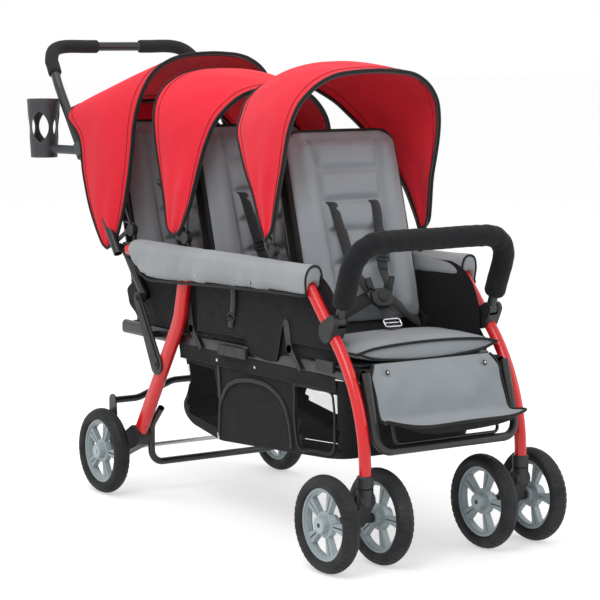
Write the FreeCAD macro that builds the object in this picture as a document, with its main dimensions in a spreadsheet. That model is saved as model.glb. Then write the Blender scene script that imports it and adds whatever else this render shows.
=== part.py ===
import FreeCAD, Part
import math
import os

import Sketcher
from FreeCAD import Placement, Rotation, Vector

# Three-seat tandem stroller. X runs across, Y from front to rear and Z up, all in millimetres.
# Places along Y are counted from the front wheel axle. Every sub-part is set back by one distance,
# so that the origin lies on the ground, in the middle of the whole length.

SIZES = {
    # Wheels and axles
    "wheel_radius": 100, "tyre_width": 38, "tyre_depth": 26.5, "tyre_shoulder": 9,
    "rim_wall": 5, "rim_web": 13, "hub_radius": 17, "hub_length": 42, "axle_radius": 5,
    "running_gap": 0.08, "window_inner_radius": 27, "window_half_angle": 25, "window_corner": 4,
    "spoke_slot": 3.4, "back_width": 293, "track_room": 107, "rear_track_room": 92,
    "front_track": "=back_width + track_room", "rear_track": "=front_track + rear_track_room",
    "wheelbase": 946, "caster_gauge": 131.4, "caster_trail": 38,
    # Front legs and the arm rails that they run into
    "leg_radius": 12.5, "leg_wall": 1.5, "leg_foot_up": 184, "leg_knee_up": 344,
    "leg_knee_bend": 375, "arm_rail_up": 575, "arm_rail_start": 173, "arm_rail_bend": 60,
    "arm_rail_end": 900,
    # Seat rails, cross tubes and seats
    "rail_width": 20, "rail_height": 32, "rail_wall": 1.5, "rail_level": 388, "rail_gap": 1.5,
    "rail_front": 1.7, "rail_rear": 955, "rail_cap": 16, "cross_radius": 9, "cross_front": 62,
    "cross_rear": 236, "seat_pitch": 350, "board_thickness": 5, "board_front": 30,
    "board_rear": 206, "board_corner": 18, "cushion_room": 56,
    "cushion_width": "=front_track - cushion_room", "cushion_thickness": 44,
    "cushion_front": 22, "cushion_rear": 214, "cushion_corner": 26, "soft_gap": 0.3,
    # Seat backs
    "hinge_across": 224, "hinge_up": 456, "back_lean": 15.8, "back_length": 425,
    "back_thickness": 36, "bolster_rise": 15, "back_start": 12,
    "back_board": 5, "ear_thickness": 3, "pin_radius": 4, "bracket_thickness": 3,
    "bracket_radius": 13,
    # Rear legs, side plates and handle stubs
    "rear_leg_width": 25, "rear_leg_depth": 36, "rear_leg_wall": 2, "fold_pivot_across": 648,
    "fold_pivot_drop": 35, "fold_pivot_up": "=arm_rail_up - fold_pivot_drop",
    "rear_knee_across": 674, "rear_knee_up": 432, "rear_knee_bend": 150,
    "rear_foot_across": 866, "rear_foot_up": 134, "saddle_thickness": 1.4, "rear_leg_end": 8,
    "plate_thickness": 3.6, "plate_top_across": 837, "plate_top_up": 468, "plate_top_radius": 15,
    "plate_low_across": 753, "plate_low_up": 325, "plate_low_radius": 24, "plate_rib": 2.4,
    "boss_radius": 8, "handle_radius": 11, "handle_wall": 1.6, "stub_knee_across": 880,
    "stub_knee_drop": 59, "stub_knee_up": "=arm_rail_up - stub_knee_drop", "stub_room": 16,
    "stub_spread": "=front_track - stub_room", "handle_pivot_across": 935, "handle_pivot_rise": 7,
    "handle_pivot_up": "=arm_rail_up + handle_pivot_rise", "pivot_pin_radius": 5,
    # Handle, grips and cup holder
    "handle_room": 32, "handle_spread": "=front_track + handle_room", "flare_across": 1205,
    "flare_bend": 140, "handle_top_across": 1296, "handle_top_up": 1039,
    "flare_drop": 94, "flare_up": "=handle_top_up - flare_drop",
    "handle_narrowing": 40, "handle_top_width": "=handle_spread - handle_narrowing",
    "handle_corner": 46, "handle_tail": 22, "grip_radius": 16, "grip_end": 58,
    "cup_across": 1226, "cup_room": 30.4,
    "cup_offset": "=handle_spread / 2 + cup_room", "cup_base_up": 775, "cup_height": 140,
    "cup_top_radius": 40, "cup_base_radius": 32, "cup_wall": 3, "cup_window_width": 42,
    "cup_window_height": 76, "cup_band": 30, "clamp_radius": 16, "clamp_length": 34,
    # Bumper bar
    "bumper_pivot_across": 60, "bumper_pivot_rise": 22,
    "bumper_pivot_up": "=clamp_leg_up + bumper_pivot_rise", "bumper_reach": 173,
    "bumper_lean": 20.3, "bumper_room": 10, "bumper_width": "=front_track - bumper_room",
    "bumper_corner": 62, "bumper_radius": 10,
    "bumper_sleeve_radius": 21, "bumper_sleeve_start": 30, "clamp_width": 34,
    "clamp_grip_radius": 23, "clamp_nose_radius": 14, "clamp_leg_across": 81,
    "clamp_leg_drop": 101, "clamp_leg_up": "=arm_rail_up - clamp_leg_drop",
    "bumper_end_radius": 12,
    # Footrest and calf panel
    "footrest_room": 44, "footrest_width": "=front_track - footrest_room",
    "footrest_radius": 9, "footrest_top_across": -8, "footrest_top_up": 398,
    "footrest_low_across": -50, "footrest_low_up": 243,
    "footrest_corner": 34, "tray_radius": 3.5, "tray_room": 92,
    "tray_spread": "=footrest_width - tray_room", "tray_corner": 12,
    "panel_room": 22, "panel_width": "=footrest_width - panel_room", "panel_thickness": 7,
    "flap_reach": 58, "flap_up": 303, "flap_thickness": 9,
    # Arm pads, side panels and basket
    "pad_width": 38, "pad_rise": 25, "pad_top": "=arm_rail_up + pad_rise", "pad_drop": 35,
    "pad_bottom": "=arm_rail_up - pad_drop", "pad_front": 84, "pad_rear": 866,
    "pad_crown": 12, "pad_slot": 29, "pad_slot_front": 114, "side_panel_thickness": 4,
    "side_panel_rise": 15, "side_panel_top": "=arm_rail_up + side_panel_rise",
    "side_panel_front": 75, "side_panel_rear": 880,
    "side_panel_curve": 130, "basket_room": 34,
    "basket_top_width": "=front_track - basket_room", "basket_taper": 44,
    "basket_base_width": "=basket_top_width - basket_taper",
    "basket_front": 56, "basket_rear": 704, "basket_base_up": 187, "basket_wall": 3,
    "basket_corner": 26, "basket_slope": 14,
    # Stand bar, brake and rear hubs
    "stand_radius": 8, "stand_across": 845, "stand_low_up": 80, "stand_knee_up": 168,
    "stand_top_across": 800, "stand_top_up": 215, "stand_corner": 30, "bracket_hub_radius": 19,
    "bracket_leg_radius": 25, "brake_radius": 8, "brake_rise": 150, "brake_arm_rise": 116,
    "brake_flat_room": 290, "brake_flat": "=front_track - brake_flat_room",
    "brake_shoulder_room": 100, "brake_shoulder": "=front_track - brake_shoulder_room",
    "brake_plate": 3.6, "brake_plate_radius": 15, "brake_corner": 60,
    # Casters
    "socket_radius": 17, "socket_height": 26, "socket_gap": 0.4, "fork_thickness": 34,
    "fork_boss_radius": 17, "fork_boss_height": 34, "fork_axle_radius": 10, "stem_radius": 6,
    "stem_height": 11,
    # Canopies
    "bow_radius": 3.5, "canopy_wall": 2.4, "canopy_room": 5,
    "canopy_half_width": "=front_track / 2 + canopy_room", "canopy_corner": 118,
    "canopy_lift": 14, "canopy_foot": 12, "canopy_sag": 14, "bow_ease": 1.5,
    "knob_rise": 46, "knob_up": "=arm_rail_up + knob_rise", "knob_radius": 15,
    "knob_thickness": 3.8, "knob_front": 299, "knob_middle": 649, "knob_rear": 890,
    "disc_radius": 12, "disc_thickness": 5.7, "disc_room": 12.2,
    "disc_inset": "=front_track / 2 - disc_room", "hub_thickness": 6.2,
    "knob_pin_radius": 3, "post_width": 12,
    "front_hood_fore": 15, "front_hood_aft": 36, "front_hood_fore_height": 382,
    "front_hood_aft_height": 418, "middle_hood_fore": 12.5, "middle_hood_aft": 28.6,
    "middle_hood_fore_height": 342, "middle_hood_aft_height": 420, "rear_hood_fore": 5.6,
    "rear_hood_aft": 39.7, "rear_hood_fore_height": 402, "rear_hood_aft_height": 385,
    # Small parts
    "rivet_radius": 4.5, "rivet_head": 2, "block_length": 66, "block_height": 22,
    "block_depth": 7, "block_place": 440,
    "harness_width": 38, "harness_thickness": 4, "harness_foot": 120, "buckle_width": 56,
    "buckle_height": 44, "buckle_thickness": 14, "buckle_up": 512, "overrun": 5,
}

# Counts, and shapes given as shares of the sizes above
SPOKES = 5
CUP_WINDOWS = 4
CROWN_SHARE = 2 / 3
BOLSTER_SHARE = 0.62
BOLSTER_FADE_SHARE = 0.5
BACK_HOLLOW_SHARE = 0.25
GRIP_START_SHARE = 0.3
FORK_END_SHARE = 1.7
CUSHION_SHARES = ((0.0, 0.5), (0.3, 0.0), (0.7, 0.0), (0.92, 0.5), (1.0, 1.6))
BACK_SHARES = (
    (0.0, 0.945, 0.1), (0.3, 0.965, 0.0), (0.75, 0.965, 0.0), (0.93, 0.92, 0.06), (1.0, 0.8, 0.3)
)
HALF_WINDOW_TURN = 45

doc = FreeCAD.newDocument("stroller")
sheet = doc.addObject("Spreadsheet::Sheet", "Sizes")
for row, (alias, value) in enumerate(SIZES.items(), start=1):
    sheet.set(f"A{row}", alias)
    sheet.set(f"B{row}", str(value))
    sheet.setAlias(f"B{row}", alias)
doc.recompute()


class Cells:
    """Reads a size from the sheet by its name."""

    def __getattr__(self, name):
        return float(sheet.get(name))


s = Cells()
nodes = []
X_AXIS = Vector(1, 0, 0)
Y_AXIS = Vector(0, 1, 0)
Z_AXIS = Vector(0, 0, 1)
YZ_TURN = Rotation(Vector(1, 1, 1), 120)
RIGHT = -1
LEFT = 1

# Places that several sub-parts share
setback = (s.handle_top_across + s.grip_radius - s.wheel_radius) / 2
home = Placement(Vector(0, -setback, 0), Rotation())
leg_x = s.front_track / 2
wheel_x = s.rear_track / 2
stub_x = s.stub_spread / 2
handle_x = s.handle_spread / 2
leg_inner = leg_x - s.leg_radius
leg_outer = leg_x + s.leg_radius
rail_x = leg_inner - s.rail_gap - s.rail_width / 2
rail_inner = rail_x - s.rail_width / 2
rail_outer = rail_x + s.rail_width / 2
rail_top = s.rail_level + s.rail_height / 2
rail_bottom = s.rail_level - s.rail_height / 2
cross_up = rail_top - s.cross_radius
board_top = rail_top + s.board_thickness
cushion_base = board_top + s.soft_gap
cushion_top = cushion_base + s.cushion_thickness
plate_x = leg_outer + s.soft_gap + s.plate_thickness / 2
lean = math.radians(s.back_lean)
pivot = Vector(0, s.handle_pivot_across, s.handle_pivot_up)
flare = Vector(0, s.flare_across, s.flare_up)
rise_way = (flare - pivot).normalize()
seats = ("front", "middle", "rear")
sides = (("right", RIGHT), ("left", LEFT))


# Helpers that register a sub-part
def keep(label, item):
    """Files a document object, or a shape, as the sub-part of that name."""
    if isinstance(item, Part.Shape):
        shape = item
        item = doc.addObject("Part::Feature", label)
        item.Shape = shape
        item.Placement = home * item.Placement
    item.Label = label
    nodes.append(item)
    return item


def mirrored(label, source):
    """The same piece on the other side of the stroller."""
    twin = doc.addObject("Part::Mirroring", label)
    twin.Source = source
    twin.Normal = X_AXIS
    twin.Base = Vector(0, 0, 0)
    return twin


def pair(shape):
    """A shape and its mirror image as one compound."""
    return Part.makeCompound([shape, shape.mirror(Vector(0, 0, 0), X_AXIS)])


# Helpers for PartDesign bodies
def new_body(label, place=None):
    body = doc.addObject("PartDesign::Body", label)
    body.Label = label
    body.Placement = home * (place or Placement())
    return body


def new_sketch(body, role, geometry, offset=0):
    """A sketch on one of the body's own origin planes, at a distance along the plane's normal."""
    sketch = body.newObject("Sketcher::SketchObject", body.Name + "_sketch")
    plane = [f for f in body.Origin.OriginFeatures if f.Role == role][0]
    sketch.AttachmentSupport = [(plane, "")]
    sketch.MapMode = "FlatFace"
    sketch.AttachmentOffset = Placement(Vector(0, 0, offset), Rotation())
    for item in geometry:
        sketch.addGeometry(item)
    return sketch


def bound_circle(sketch, centre, expression):
    """A circle whose radius follows the sheet."""
    radius = float(sheet.evalExpression(expression.replace("Sizes.", "")))
    ring = sketch.addGeometry(Part.Circle(centre, Z_AXIS, radius))
    limit = sketch.addConstraint(Sketcher.Constraint("Radius", ring, radius))
    sketch.addConstraint(Sketcher.Constraint("Block", ring))
    sketch.setExpression(f"Constraints[{limit}]", expression)
    return ring


def pad(body, sketch, expression, midplane=False):
    feature = body.newObject("PartDesign::Pad", body.Name + "_pad")
    feature.Profile = sketch
    feature.setExpression("Length", expression)
    feature.Midplane = midplane
    return feature


def pocket_through(body, sketch):
    feature = body.newObject("PartDesign::Pocket", body.Name + "_pocket")
    feature.Profile = sketch
    feature.Type = "ThroughAll"
    feature.Midplane = True
    return feature


# Helpers for outlines and paths
def bent_path(points, bends):
    """Straight runs through the points, joined by tangent arcs of the given radii."""
    edges = []
    start = points[0]
    for before, corner, after, radius in zip(points, points[1:], points[2:], bends):
        back = (before - corner).normalize()
        ahead = (after - corner).normalize()
        half = back.getAngle(ahead) / 2
        reach = radius / math.tan(half)
        enter = corner + back * reach
        leave = corner + ahead * reach
        inward = (back + ahead).normalize()
        middle = corner + inward * (radius / math.sin(half) - radius)
        edges.append(Part.LineSegment(start, enter))
        edges.append(Part.Arc(enter, middle, leave))
        start = leave
    edges.append(Part.LineSegment(start, points[-1]))
    return edges


def swept(points, bends, radius):
    """A round bar along a bent path."""
    path = Part.Wire([edge.toShape() for edge in bent_path(points, bends)])
    heading = points[1] - points[0]
    ring = Part.Wire(Part.Circle(points[0], heading, radius).toShape())
    return path.makePipeShell([ring], True, False)


def tube(points, bends, radius, wall):
    """A hollow tube along a bent path."""
    return swept(points, bends, radius).cut(swept(points, bends, radius - wall))


def oval(width, depth):
    """A flat-sided oval, longest along the second direction."""
    radius = width / 2
    reach = depth / 2 - radius
    top = Vector(0, reach, 0)
    base = Vector(0, -reach, 0)
    side = Vector(radius, 0, 0)
    return [
        Part.Arc(top + side, top + Vector(0, radius, 0), top - side),
        Part.LineSegment(top - side, base - side),
        Part.Arc(base - side, base - Vector(0, radius, 0), base + side),
        Part.LineSegment(base + side, top + side),
    ]


def rounded_outline(points, radius):
    """A closed outline through the points, with one radius at every corner."""
    start = (points[0] + points[-1]) / 2
    return bent_path([start] + list(points) + [start], [radius] * len(points))


def rectangle(x0, y0, x1, y1):
    return [Vector(x0, y0, 0), Vector(x1, y0, 0), Vector(x1, y1, 0), Vector(x0, y1, 0)]


def face_of(geometry):
    return Part.Face(Part.Wire([item.toShape() for item in geometry]))


def side_slab(outline, x, thickness):
    """A slab across X, from an outline drawn with Y as its first direction and Z as its second."""
    flat = face_of(outline)
    flat.Placement = Placement(Vector(x - thickness / 2, 0, 0), YZ_TURN)
    return flat.extrude(Vector(thickness, 0, 0))


def link_outline(low, low_radius, high, high_radius):
    """Two round ends joined by their common tangents, in the Y and Z plane."""
    run = high - low
    along = Vector(run).normalize()
    across = Vector(-along.y, along.x, 0)
    tilt = math.asin((low_radius - high_radius) / run.Length)
    left = along * math.sin(tilt) + across * math.cos(tilt)
    right = along * math.sin(tilt) - across * math.cos(tilt)
    return [
        Part.LineSegment(low + left * low_radius, high + left * high_radius),
        Part.Arc(high + left * high_radius, high + along * high_radius, high + right * high_radius),
        Part.LineSegment(high + right * high_radius, low + right * low_radius),
        Part.Arc(low + right * low_radius, low - along * low_radius, low + left * low_radius),
    ]


def link(low, low_radius, high, high_radius, x, thickness):
    return side_slab(link_outline(low, low_radius, high, high_radius), x, thickness)


def flat(across, up):
    """A point of an outline in the Y and Z plane."""
    return Vector(across, up, 0)


def cross_bar(across, up, radius, x0, x1):
    """A round bar along X."""
    return Part.makeCylinder(radius, abs(x1 - x0), Vector(min(x0, x1), across, up), X_AXIS)


def loft(sections):
    return Part.makeLoft(sections, True, False)


# Wheels
def tyre(label, x, across):
    """A foam-filled tyre with rounded shoulders, turned about its own axle."""
    body = new_body(label, Placement(Vector(x, across, s.wheel_radius), Rotation()))
    inner = s.wheel_radius - s.tyre_depth
    half = s.tyre_width / 2
    crown = s.wheel_radius - s.tyre_shoulder * CROWN_SHARE
    wall = [
        Vector(-half + s.tyre_shoulder, inner, 0),
        Vector(-half, inner + s.tyre_shoulder, 0),
        Vector(-half, crown - s.tyre_shoulder, 0),
        Vector(-half + s.tyre_shoulder, crown, 0),
    ]
    far = [Vector(-p.x, p.y, 0) for p in reversed(wall)]
    top = Vector(0, s.wheel_radius, 0)
    profile = [
        Part.LineSegment(wall[0], wall[1]),
        Part.LineSegment(wall[1], wall[2]),
        Part.LineSegment(wall[2], wall[3]),
        Part.Arc(wall[3], top, far[0]),
        Part.LineSegment(far[0], far[1]),
        Part.LineSegment(far[1], far[2]),
        Part.LineSegment(far[2], far[3]),
        Part.LineSegment(far[3], wall[0]),
    ]
    turned = body.newObject("PartDesign::Revolution", label + "_turned")
    turned.Profile = new_sketch(body, "XY_Plane", profile)
    turned.ReferenceAxis = (origin_axis(body, "X_Axis"), [""])
    turned.Angle = 360
    return keep(label, body)


def origin_axis(body, role):
    return [f for f in body.Origin.OriginFeatures if f.Role == role][0]


def rim(label, x, across):
    """A moulded rim: a barrel and a hub joined by a web with five windows and five slotted spokes."""
    body = new_body(label, Placement(Vector(x, across, s.wheel_radius), Rotation()))
    outer = s.wheel_radius - s.tyre_depth
    inner = outer - s.rim_wall
    half = s.tyre_width / 2 - s.tyre_shoulder
    web = s.rim_web / 2
    hub = s.hub_length / 2
    bore = s.axle_radius + s.running_gap
    corners = [
        Vector(-hub, bore, 0), Vector(-hub, s.hub_radius, 0), Vector(-web, s.hub_radius, 0),
        Vector(-web, inner, 0), Vector(-half, inner, 0), Vector(-half, outer, 0),
        Vector(half, outer, 0), Vector(half, inner, 0), Vector(web, inner, 0),
        Vector(web, s.hub_radius, 0), Vector(hub, s.hub_radius, 0), Vector(hub, bore, 0),
    ]
    profile = [Part.LineSegment(a, b) for a, b in zip(corners, corners[1:] + corners[:1])]
    turned = body.newObject("PartDesign::Revolution", label + "_turned")
    turned.Profile = new_sketch(body, "XY_Plane", profile)
    turned.ReferenceAxis = (origin_axis(body, "X_Axis"), [""])
    turned.Angle = 360
    angle = math.radians(s.window_half_angle)
    near = s.window_inner_radius
    far = inner - s.window_corner
    window = [
        Vector(near * math.cos(angle), near * math.sin(angle), 0),
        Vector(far * math.cos(angle), far * math.sin(angle), 0),
        Vector(far * math.cos(angle), -far * math.sin(angle), 0),
        Vector(near * math.cos(angle), -near * math.sin(angle), 0),
    ]
    reach = Part.Arc(window[1], Vector(far, 0, 0), window[2])
    base = Part.Arc(window[3], Vector(near, 0, 0), window[0])
    cut = [
        Part.LineSegment(window[0], window[1]), reach,
        Part.LineSegment(window[2], window[3]), base,
    ]
    turn = Rotation(Z_AXIS, 180 / SPOKES)
    slot = []
    for x0, y0, x1, y1 in slot_runs(near, far):
        start = turn.multVec(Vector(x0, y0, 0))
        end = turn.multVec(Vector(x1, y1, 0))
        slot.append(Part.LineSegment(start, end))
    pocket = pocket_through(body, new_sketch(body, "YZ_Plane", cut + slot))
    doc.recompute()
    ring = body.newObject("PartDesign::PolarPattern", label + "_ring")
    ring.Originals = [pocket]
    ring.Axis = (origin_axis(body, "X_Axis"), [""])
    ring.Angle = 360
    ring.Occurrences = SPOKES
    body.Tip = ring
    return keep(label, body)


def slot_runs(near, far):
    """The four sides of the slot down the middle of one spoke."""
    half = s.spoke_slot / 2
    start = near + half
    end = far - half
    corners = [(start, -half), (end, -half), (end, half), (start, half)]
    return [a + b for a, b in zip(corners, corners[1:] + corners[:1])]


for name, side in sides:
    for place, offset in (("inner", -side), ("outer", side)):
        x = side * leg_x + offset * s.caster_gauge / 2
        tyre(f"front_tyre_{place}_{name}", x, 0)
        rim(f"front_rim_{place}_{name}", x, 0)
    tyre(f"rear_tyre_{name}", side * wheel_x, s.wheelbase)
    rim(f"rear_rim_{name}", side * wheel_x, s.wheelbase)


# Front legs, each running on into its arm rail
def hollow_body(label, points, bends, section, wall_section, x=0, place=None):
    """A tube swept in PartDesign along a bent path in the body's own Y and Z plane."""
    body = new_body(label, place)
    path = new_sketch(body, "YZ_Plane", bent_path(points, bends), x)
    section_sketch = body.newObject("Sketcher::SketchObject", label + "_section")
    section_sketch.AttachmentSupport = [(path, "Edge1")]
    section_sketch.MapMode = "NormalToEdge"
    for part in (section, wall_section):
        if isinstance(part, str):
            bound_circle(section_sketch, Vector(0, 0, 0), part)
        else:
            for item in part:
                section_sketch.addGeometry(item)
    pipe = body.newObject("PartDesign::AdditivePipe", label + "_pipe")
    pipe.Profile = section_sketch
    runs = 2 * len(bends) + 1
    pipe.Spine = (path, [f"Edge{n + 1}" for n in range(runs)])
    return body


leg_path = [
    flat(-s.caster_trail, s.leg_foot_up), flat(-s.caster_trail, s.leg_knee_up),
    flat(s.arm_rail_start, s.arm_rail_up), flat(s.arm_rail_end, s.arm_rail_up),
]
frame_tube = hollow_body(
    "frame_tube_right", leg_path, [s.leg_knee_bend, s.arm_rail_bend],
    "Sizes.leg_radius", "Sizes.leg_radius - Sizes.leg_wall", -leg_x,
)
keep("frame_tube_right", frame_tube)
keep("frame_tube_left", mirrored("frame_tube_left", frame_tube))

# Seat rails
def straight_rail(label):
    body = new_body(label, Placement(Vector(-rail_x, s.rail_front, s.rail_level), Rotation()))
    outline = oval(s.rail_width, s.rail_height)
    hollow = oval(s.rail_width - 2 * s.rail_wall, s.rail_height - 2 * s.rail_wall)
    sketch = new_sketch(body, "XZ_Plane", outline + hollow)
    length = pad(body, sketch, "Sizes.rail_rear - Sizes.rail_front")
    length.Reversed = True
    return body


seat_rail = straight_rail("seat_rail_right")
keep("seat_rail_right", seat_rail)
keep("seat_rail_left", mirrored("seat_rail_left", seat_rail))


# Cross tubes that join the rails, two under each seat
def cross_tubes():
    rods = []
    for number in range(len(seats)):
        for across in (s.cross_front, s.cross_rear):
            rod = doc.addObject("Part::Cylinder", "cross_rod")
            rod.setExpression("Radius", "Sizes.cross_radius")
            rod.Height = 2 * rail_inner
            place = Vector(-rail_inner, across + number * s.seat_pitch - setback, cross_up)
            rod.Placement = Placement(place, Rotation(Y_AXIS, 90))
            rods.append(rod)
    group = doc.addObject("Part::Compound", "cross_tubes")
    group.Links = rods
    return group


keep("cross_tubes", cross_tubes())


# Seat boards
def seat_boards():
    boards = []
    half = rail_outer - s.rail_width / 2
    for number in range(len(seats)):
        place = Placement(Vector(0, number * s.seat_pitch, rail_top), Rotation())
        body = new_body(f"seat_board_{number}", place)
        outline = rounded_outline(
            rectangle(-half, s.board_front, half, s.board_rear), s.board_corner
        )
        pad(body, new_sketch(body, "XY_Plane", outline), "Sizes.board_thickness")
        boards.append(body)
    group = doc.addObject("Part::Compound", "seat_boards")
    group.Links = boards
    return group


keep("seat_boards", seat_boards())


# Seat cushions with a crown and drawn-in sides
def cushion(width, front, rear, base, height, corner):
    """A stuffed cushion: rounded outlines that pull in at the base and close over the crown."""
    sections = []
    for share, inset_share in CUSHION_SHARES:
        inset = inset_share * corner / 2
        half = width / 2 - inset
        outline = rounded_outline(rectangle(-half, front + inset, half, rear - inset), corner)
        wire = Part.Wire([item.toShape() for item in outline])
        wire.translate(Vector(0, 0, base + share * height))
        sections.append(wire)
    return loft(sections)


def seat_cushions():
    cushions = []
    for number in range(len(seats)):
        shape = cushion(
            s.cushion_width, s.cushion_front, s.cushion_rear, cushion_base,
            s.cushion_thickness, s.cushion_corner,
        )
        shape.translate(Vector(0, number * s.seat_pitch, 0))
        cushions.append(shape)
    return Part.makeCompound(cushions)


keep("seat_cushions", seat_cushions())


# Seat backs: a padded cushion on a board whose ears carry the recline pins
def back_place(number, along, behind):
    """A point of a seat back in the Y and Z plane: so far along the back, so far behind its face."""
    across = s.hinge_across + number * s.seat_pitch
    return flat(
        across + along * math.sin(lean) + behind * math.cos(lean),
        s.hinge_up + along * math.cos(lean) - behind * math.sin(lean),
    )


def back_frame(number):
    """The placement of a seat back: X across, Y behind its face and Z along it."""
    place = back_place(number, 0, 0)
    return Placement(Vector(0, place.x, place.y), Rotation(X_AXIS, -s.back_lean))


def back_section(level, half, depth, bolster, front):
    """One level of the seat back: a flat rear, round edges and a bolster along each side."""
    edge = depth / 2
    inner = half * BOLSTER_SHARE
    rear = depth
    bottom_left = Vector(-half + edge, rear, level)
    bottom_right = Vector(half - edge, rear, level)
    left = Vector(-half, rear - edge, level)
    right = Vector(half, rear - edge, level)
    left_top = Vector(-(half + inner) / 2, front - bolster, level)
    right_top = Vector((half + inner) / 2, front - bolster, level)
    left_in = Vector(-inner, front, level)
    right_in = Vector(inner, front, level)
    middle = Vector(0, front - bolster * BACK_HOLLOW_SHARE, level)
    turn = edge * (1 - math.sqrt(0.5))
    edges = [
        Part.LineSegment(bottom_left, bottom_right),
        Part.Arc(bottom_right, Vector(half - turn, rear - turn, level), right),
        Part.Arc(right, right_top, right_in),
        Part.Arc(right_in, middle, left_in),
        Part.Arc(left_in, left_top, left),
        Part.Arc(left, Vector(-half + turn, rear - turn, level), bottom_left),
    ]
    return Part.Wire([edge.toShape() for edge in edges])


def seat_back(number):
    sections = []
    run = s.back_length - s.back_start
    for share, width_share, front_share in BACK_SHARES:
        rise = s.bolster_rise * (1 - share * share * BOLSTER_FADE_SHARE)
        front = s.back_thickness * front_share
        level = s.back_start + share * run
        half = s.back_width / 2 * width_share
        sections.append(back_section(level, half, s.back_thickness, rise, front))
    shape = loft(sections)
    shape.Placement = back_frame(number)
    return shape


def back_board(number):
    """The board behind the cushion, with an ear and a pin on each side."""
    half = s.back_width / 2 + s.ear_thickness + s.soft_gap
    behind = s.back_thickness + s.soft_gap
    top = s.back_length - s.board_corner
    outline = rounded_outline(rectangle(-half, s.back_start, half, top), s.board_corner)
    board = face_of(outline).extrude(Vector(0, 0, s.back_board))
    board.Placement = Placement(Vector(0, behind + s.back_board, 0), Rotation(X_AXIS, 90))
    low = flat(0, 0)
    high = flat(behind + s.back_board / 2, s.back_start + s.board_corner * 2)
    ear_x = -half + s.ear_thickness / 2
    ear = link(low, s.pin_radius * 2, high, s.back_board, ear_x, s.ear_thickness)
    pin_end = half + s.soft_gap + s.bracket_thickness
    pin = cross_bar(0, 0, s.pin_radius, -pin_end, -half + s.ear_thickness)
    side = ear.fuse(pin)
    shape = board.fuse([side, side.mirror(Vector(0, 0, 0), X_AXIS)]).removeSplitter()
    shape.Placement = back_frame(number)
    return shape


for number, seat in enumerate(seats):
    keep(f"seat_back_{seat}", seat_back(number))
    keep(f"back_board_{seat}", back_board(number))


# Steel brackets: seat hinges, leg saddles, rail bosses and the elbows that join rail and stub
def drilled(shape, across, up, radius, x0, x1):
    return shape.cut(cross_bar(across, up, radius, x0 - s.overrun, x1 + s.overrun))


def hinge_bracket(number):
    """A plate that stands on the rear cross tube and carries the recline pin."""
    x = -(s.back_width / 2 + s.ear_thickness + 2 * s.soft_gap + s.bracket_thickness / 2)
    tube_at = s.cross_rear + number * s.seat_pitch
    pin = back_place(number, 0, 0)
    plate = link(
        flat(tube_at, cross_up), s.bracket_radius, pin, s.bracket_radius - s.bracket_thickness,
        x, s.bracket_thickness,
    )
    plate = drilled(plate, tube_at, cross_up, s.cross_radius, x, x)
    return drilled(plate, pin.x, pin.y, s.pin_radius + s.running_gap, x, x)


def leg_saddle():
    """A folded strap over the arm rail, whose two cheeks hold the rear leg's fold pin."""
    inner = s.rear_leg_width / 2 + s.soft_gap
    outer = inner + s.saddle_thickness
    low = flat(s.fold_pivot_across, s.fold_pivot_up)
    high = flat(s.fold_pivot_across, s.arm_rail_up - s.clamp_nose_radius)
    x = -leg_x - outer + s.saddle_thickness / 2
    radius = s.clamp_nose_radius
    cheek = link(low, radius, high, radius, x, s.saddle_thickness)
    far = cheek.copy()
    far.translate(Vector(2 * outer - s.saddle_thickness, 0, 0))
    pin = cross_bar(s.fold_pivot_across, s.fold_pivot_up, s.pin_radius, -leg_x - outer, -leg_x + outer)
    return cheek.fuse([far, pin])


def rail_boss():
    """The spacer between the seat rail and the side plate."""
    across, up = plate_at(s.rail_level)
    return cross_bar(across, up, s.boss_radius, -rail_outer, -plate_x + s.plate_thickness / 2)


def plate_at(up):
    """The point of the side plate's centre line at a height."""
    share = (up - s.plate_low_up) / (s.plate_top_up - s.plate_low_up)
    return s.plate_low_across + share * (s.plate_top_across - s.plate_low_across), up


stub_path = [
    Vector(-stub_x, s.plate_top_across, s.plate_top_up),
    Vector(-stub_x, s.stub_knee_across, s.stub_knee_up),
    Vector(-stub_x, s.handle_pivot_across, s.handle_pivot_up),
]
stub_bend = [s.rear_knee_bend]


def rail_elbow():
    """A moulded elbow that holds the end of the arm rail against the stub."""
    radius = s.leg_radius + s.plate_thickness
    start = s.arm_rail_end - s.rail_cap
    place = Vector(-leg_x, start, s.arm_rail_up)
    block = Part.makeCylinder(radius, 2 * s.rail_cap + s.plate_thickness, place, Y_AXIS)
    block = block.cut(Part.makeCylinder(s.leg_radius, s.rail_cap, place, Y_AXIS))
    beside_x = -leg_outer - s.plate_thickness - s.overrun
    beside = Part.makeBox(
        s.leg_radius + s.plate_thickness, s.rail_cap * 4, 4 * radius,
        Vector(beside_x, start - s.rail_cap, s.arm_rail_up - 2 * radius),
    )
    post_slot = Part.makeBox(
        s.disc_thickness + 2 * s.soft_gap, s.post_width + 2 * s.soft_gap, s.rail_cap * 2,
        Vector(
            -s.disc_inset - s.disc_thickness - s.soft_gap,
            s.knob_rear - s.post_width / 2 - s.soft_gap, s.arm_rail_up,
        ),
    )
    block = block.cut(swept(stub_path, stub_bend, s.handle_radius))
    return block.cut([beside, post_slot])


def handle_pin():
    """The pin that the folding handle turns on."""
    return cross_bar(
        s.handle_pivot_across, s.handle_pivot_up, s.pivot_pin_radius,
        -handle_x - s.handle_radius - s.soft_gap, -stub_x - s.handle_radius + s.handle_wall,
    )


brackets = [hinge_bracket(number) for number in range(len(seats))]
brackets += [leg_saddle(), rail_boss()]
keep("frame_brackets", Part.makeCompound([pair(item) for item in brackets]))


# Handle stubs, each with its pivot pin
def handle_stub():
    stub = tube(stub_path, stub_bend, s.handle_radius, s.handle_wall)
    return stub.fuse(handle_pin())


keep("handle_stubs", pair(handle_stub()))


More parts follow.
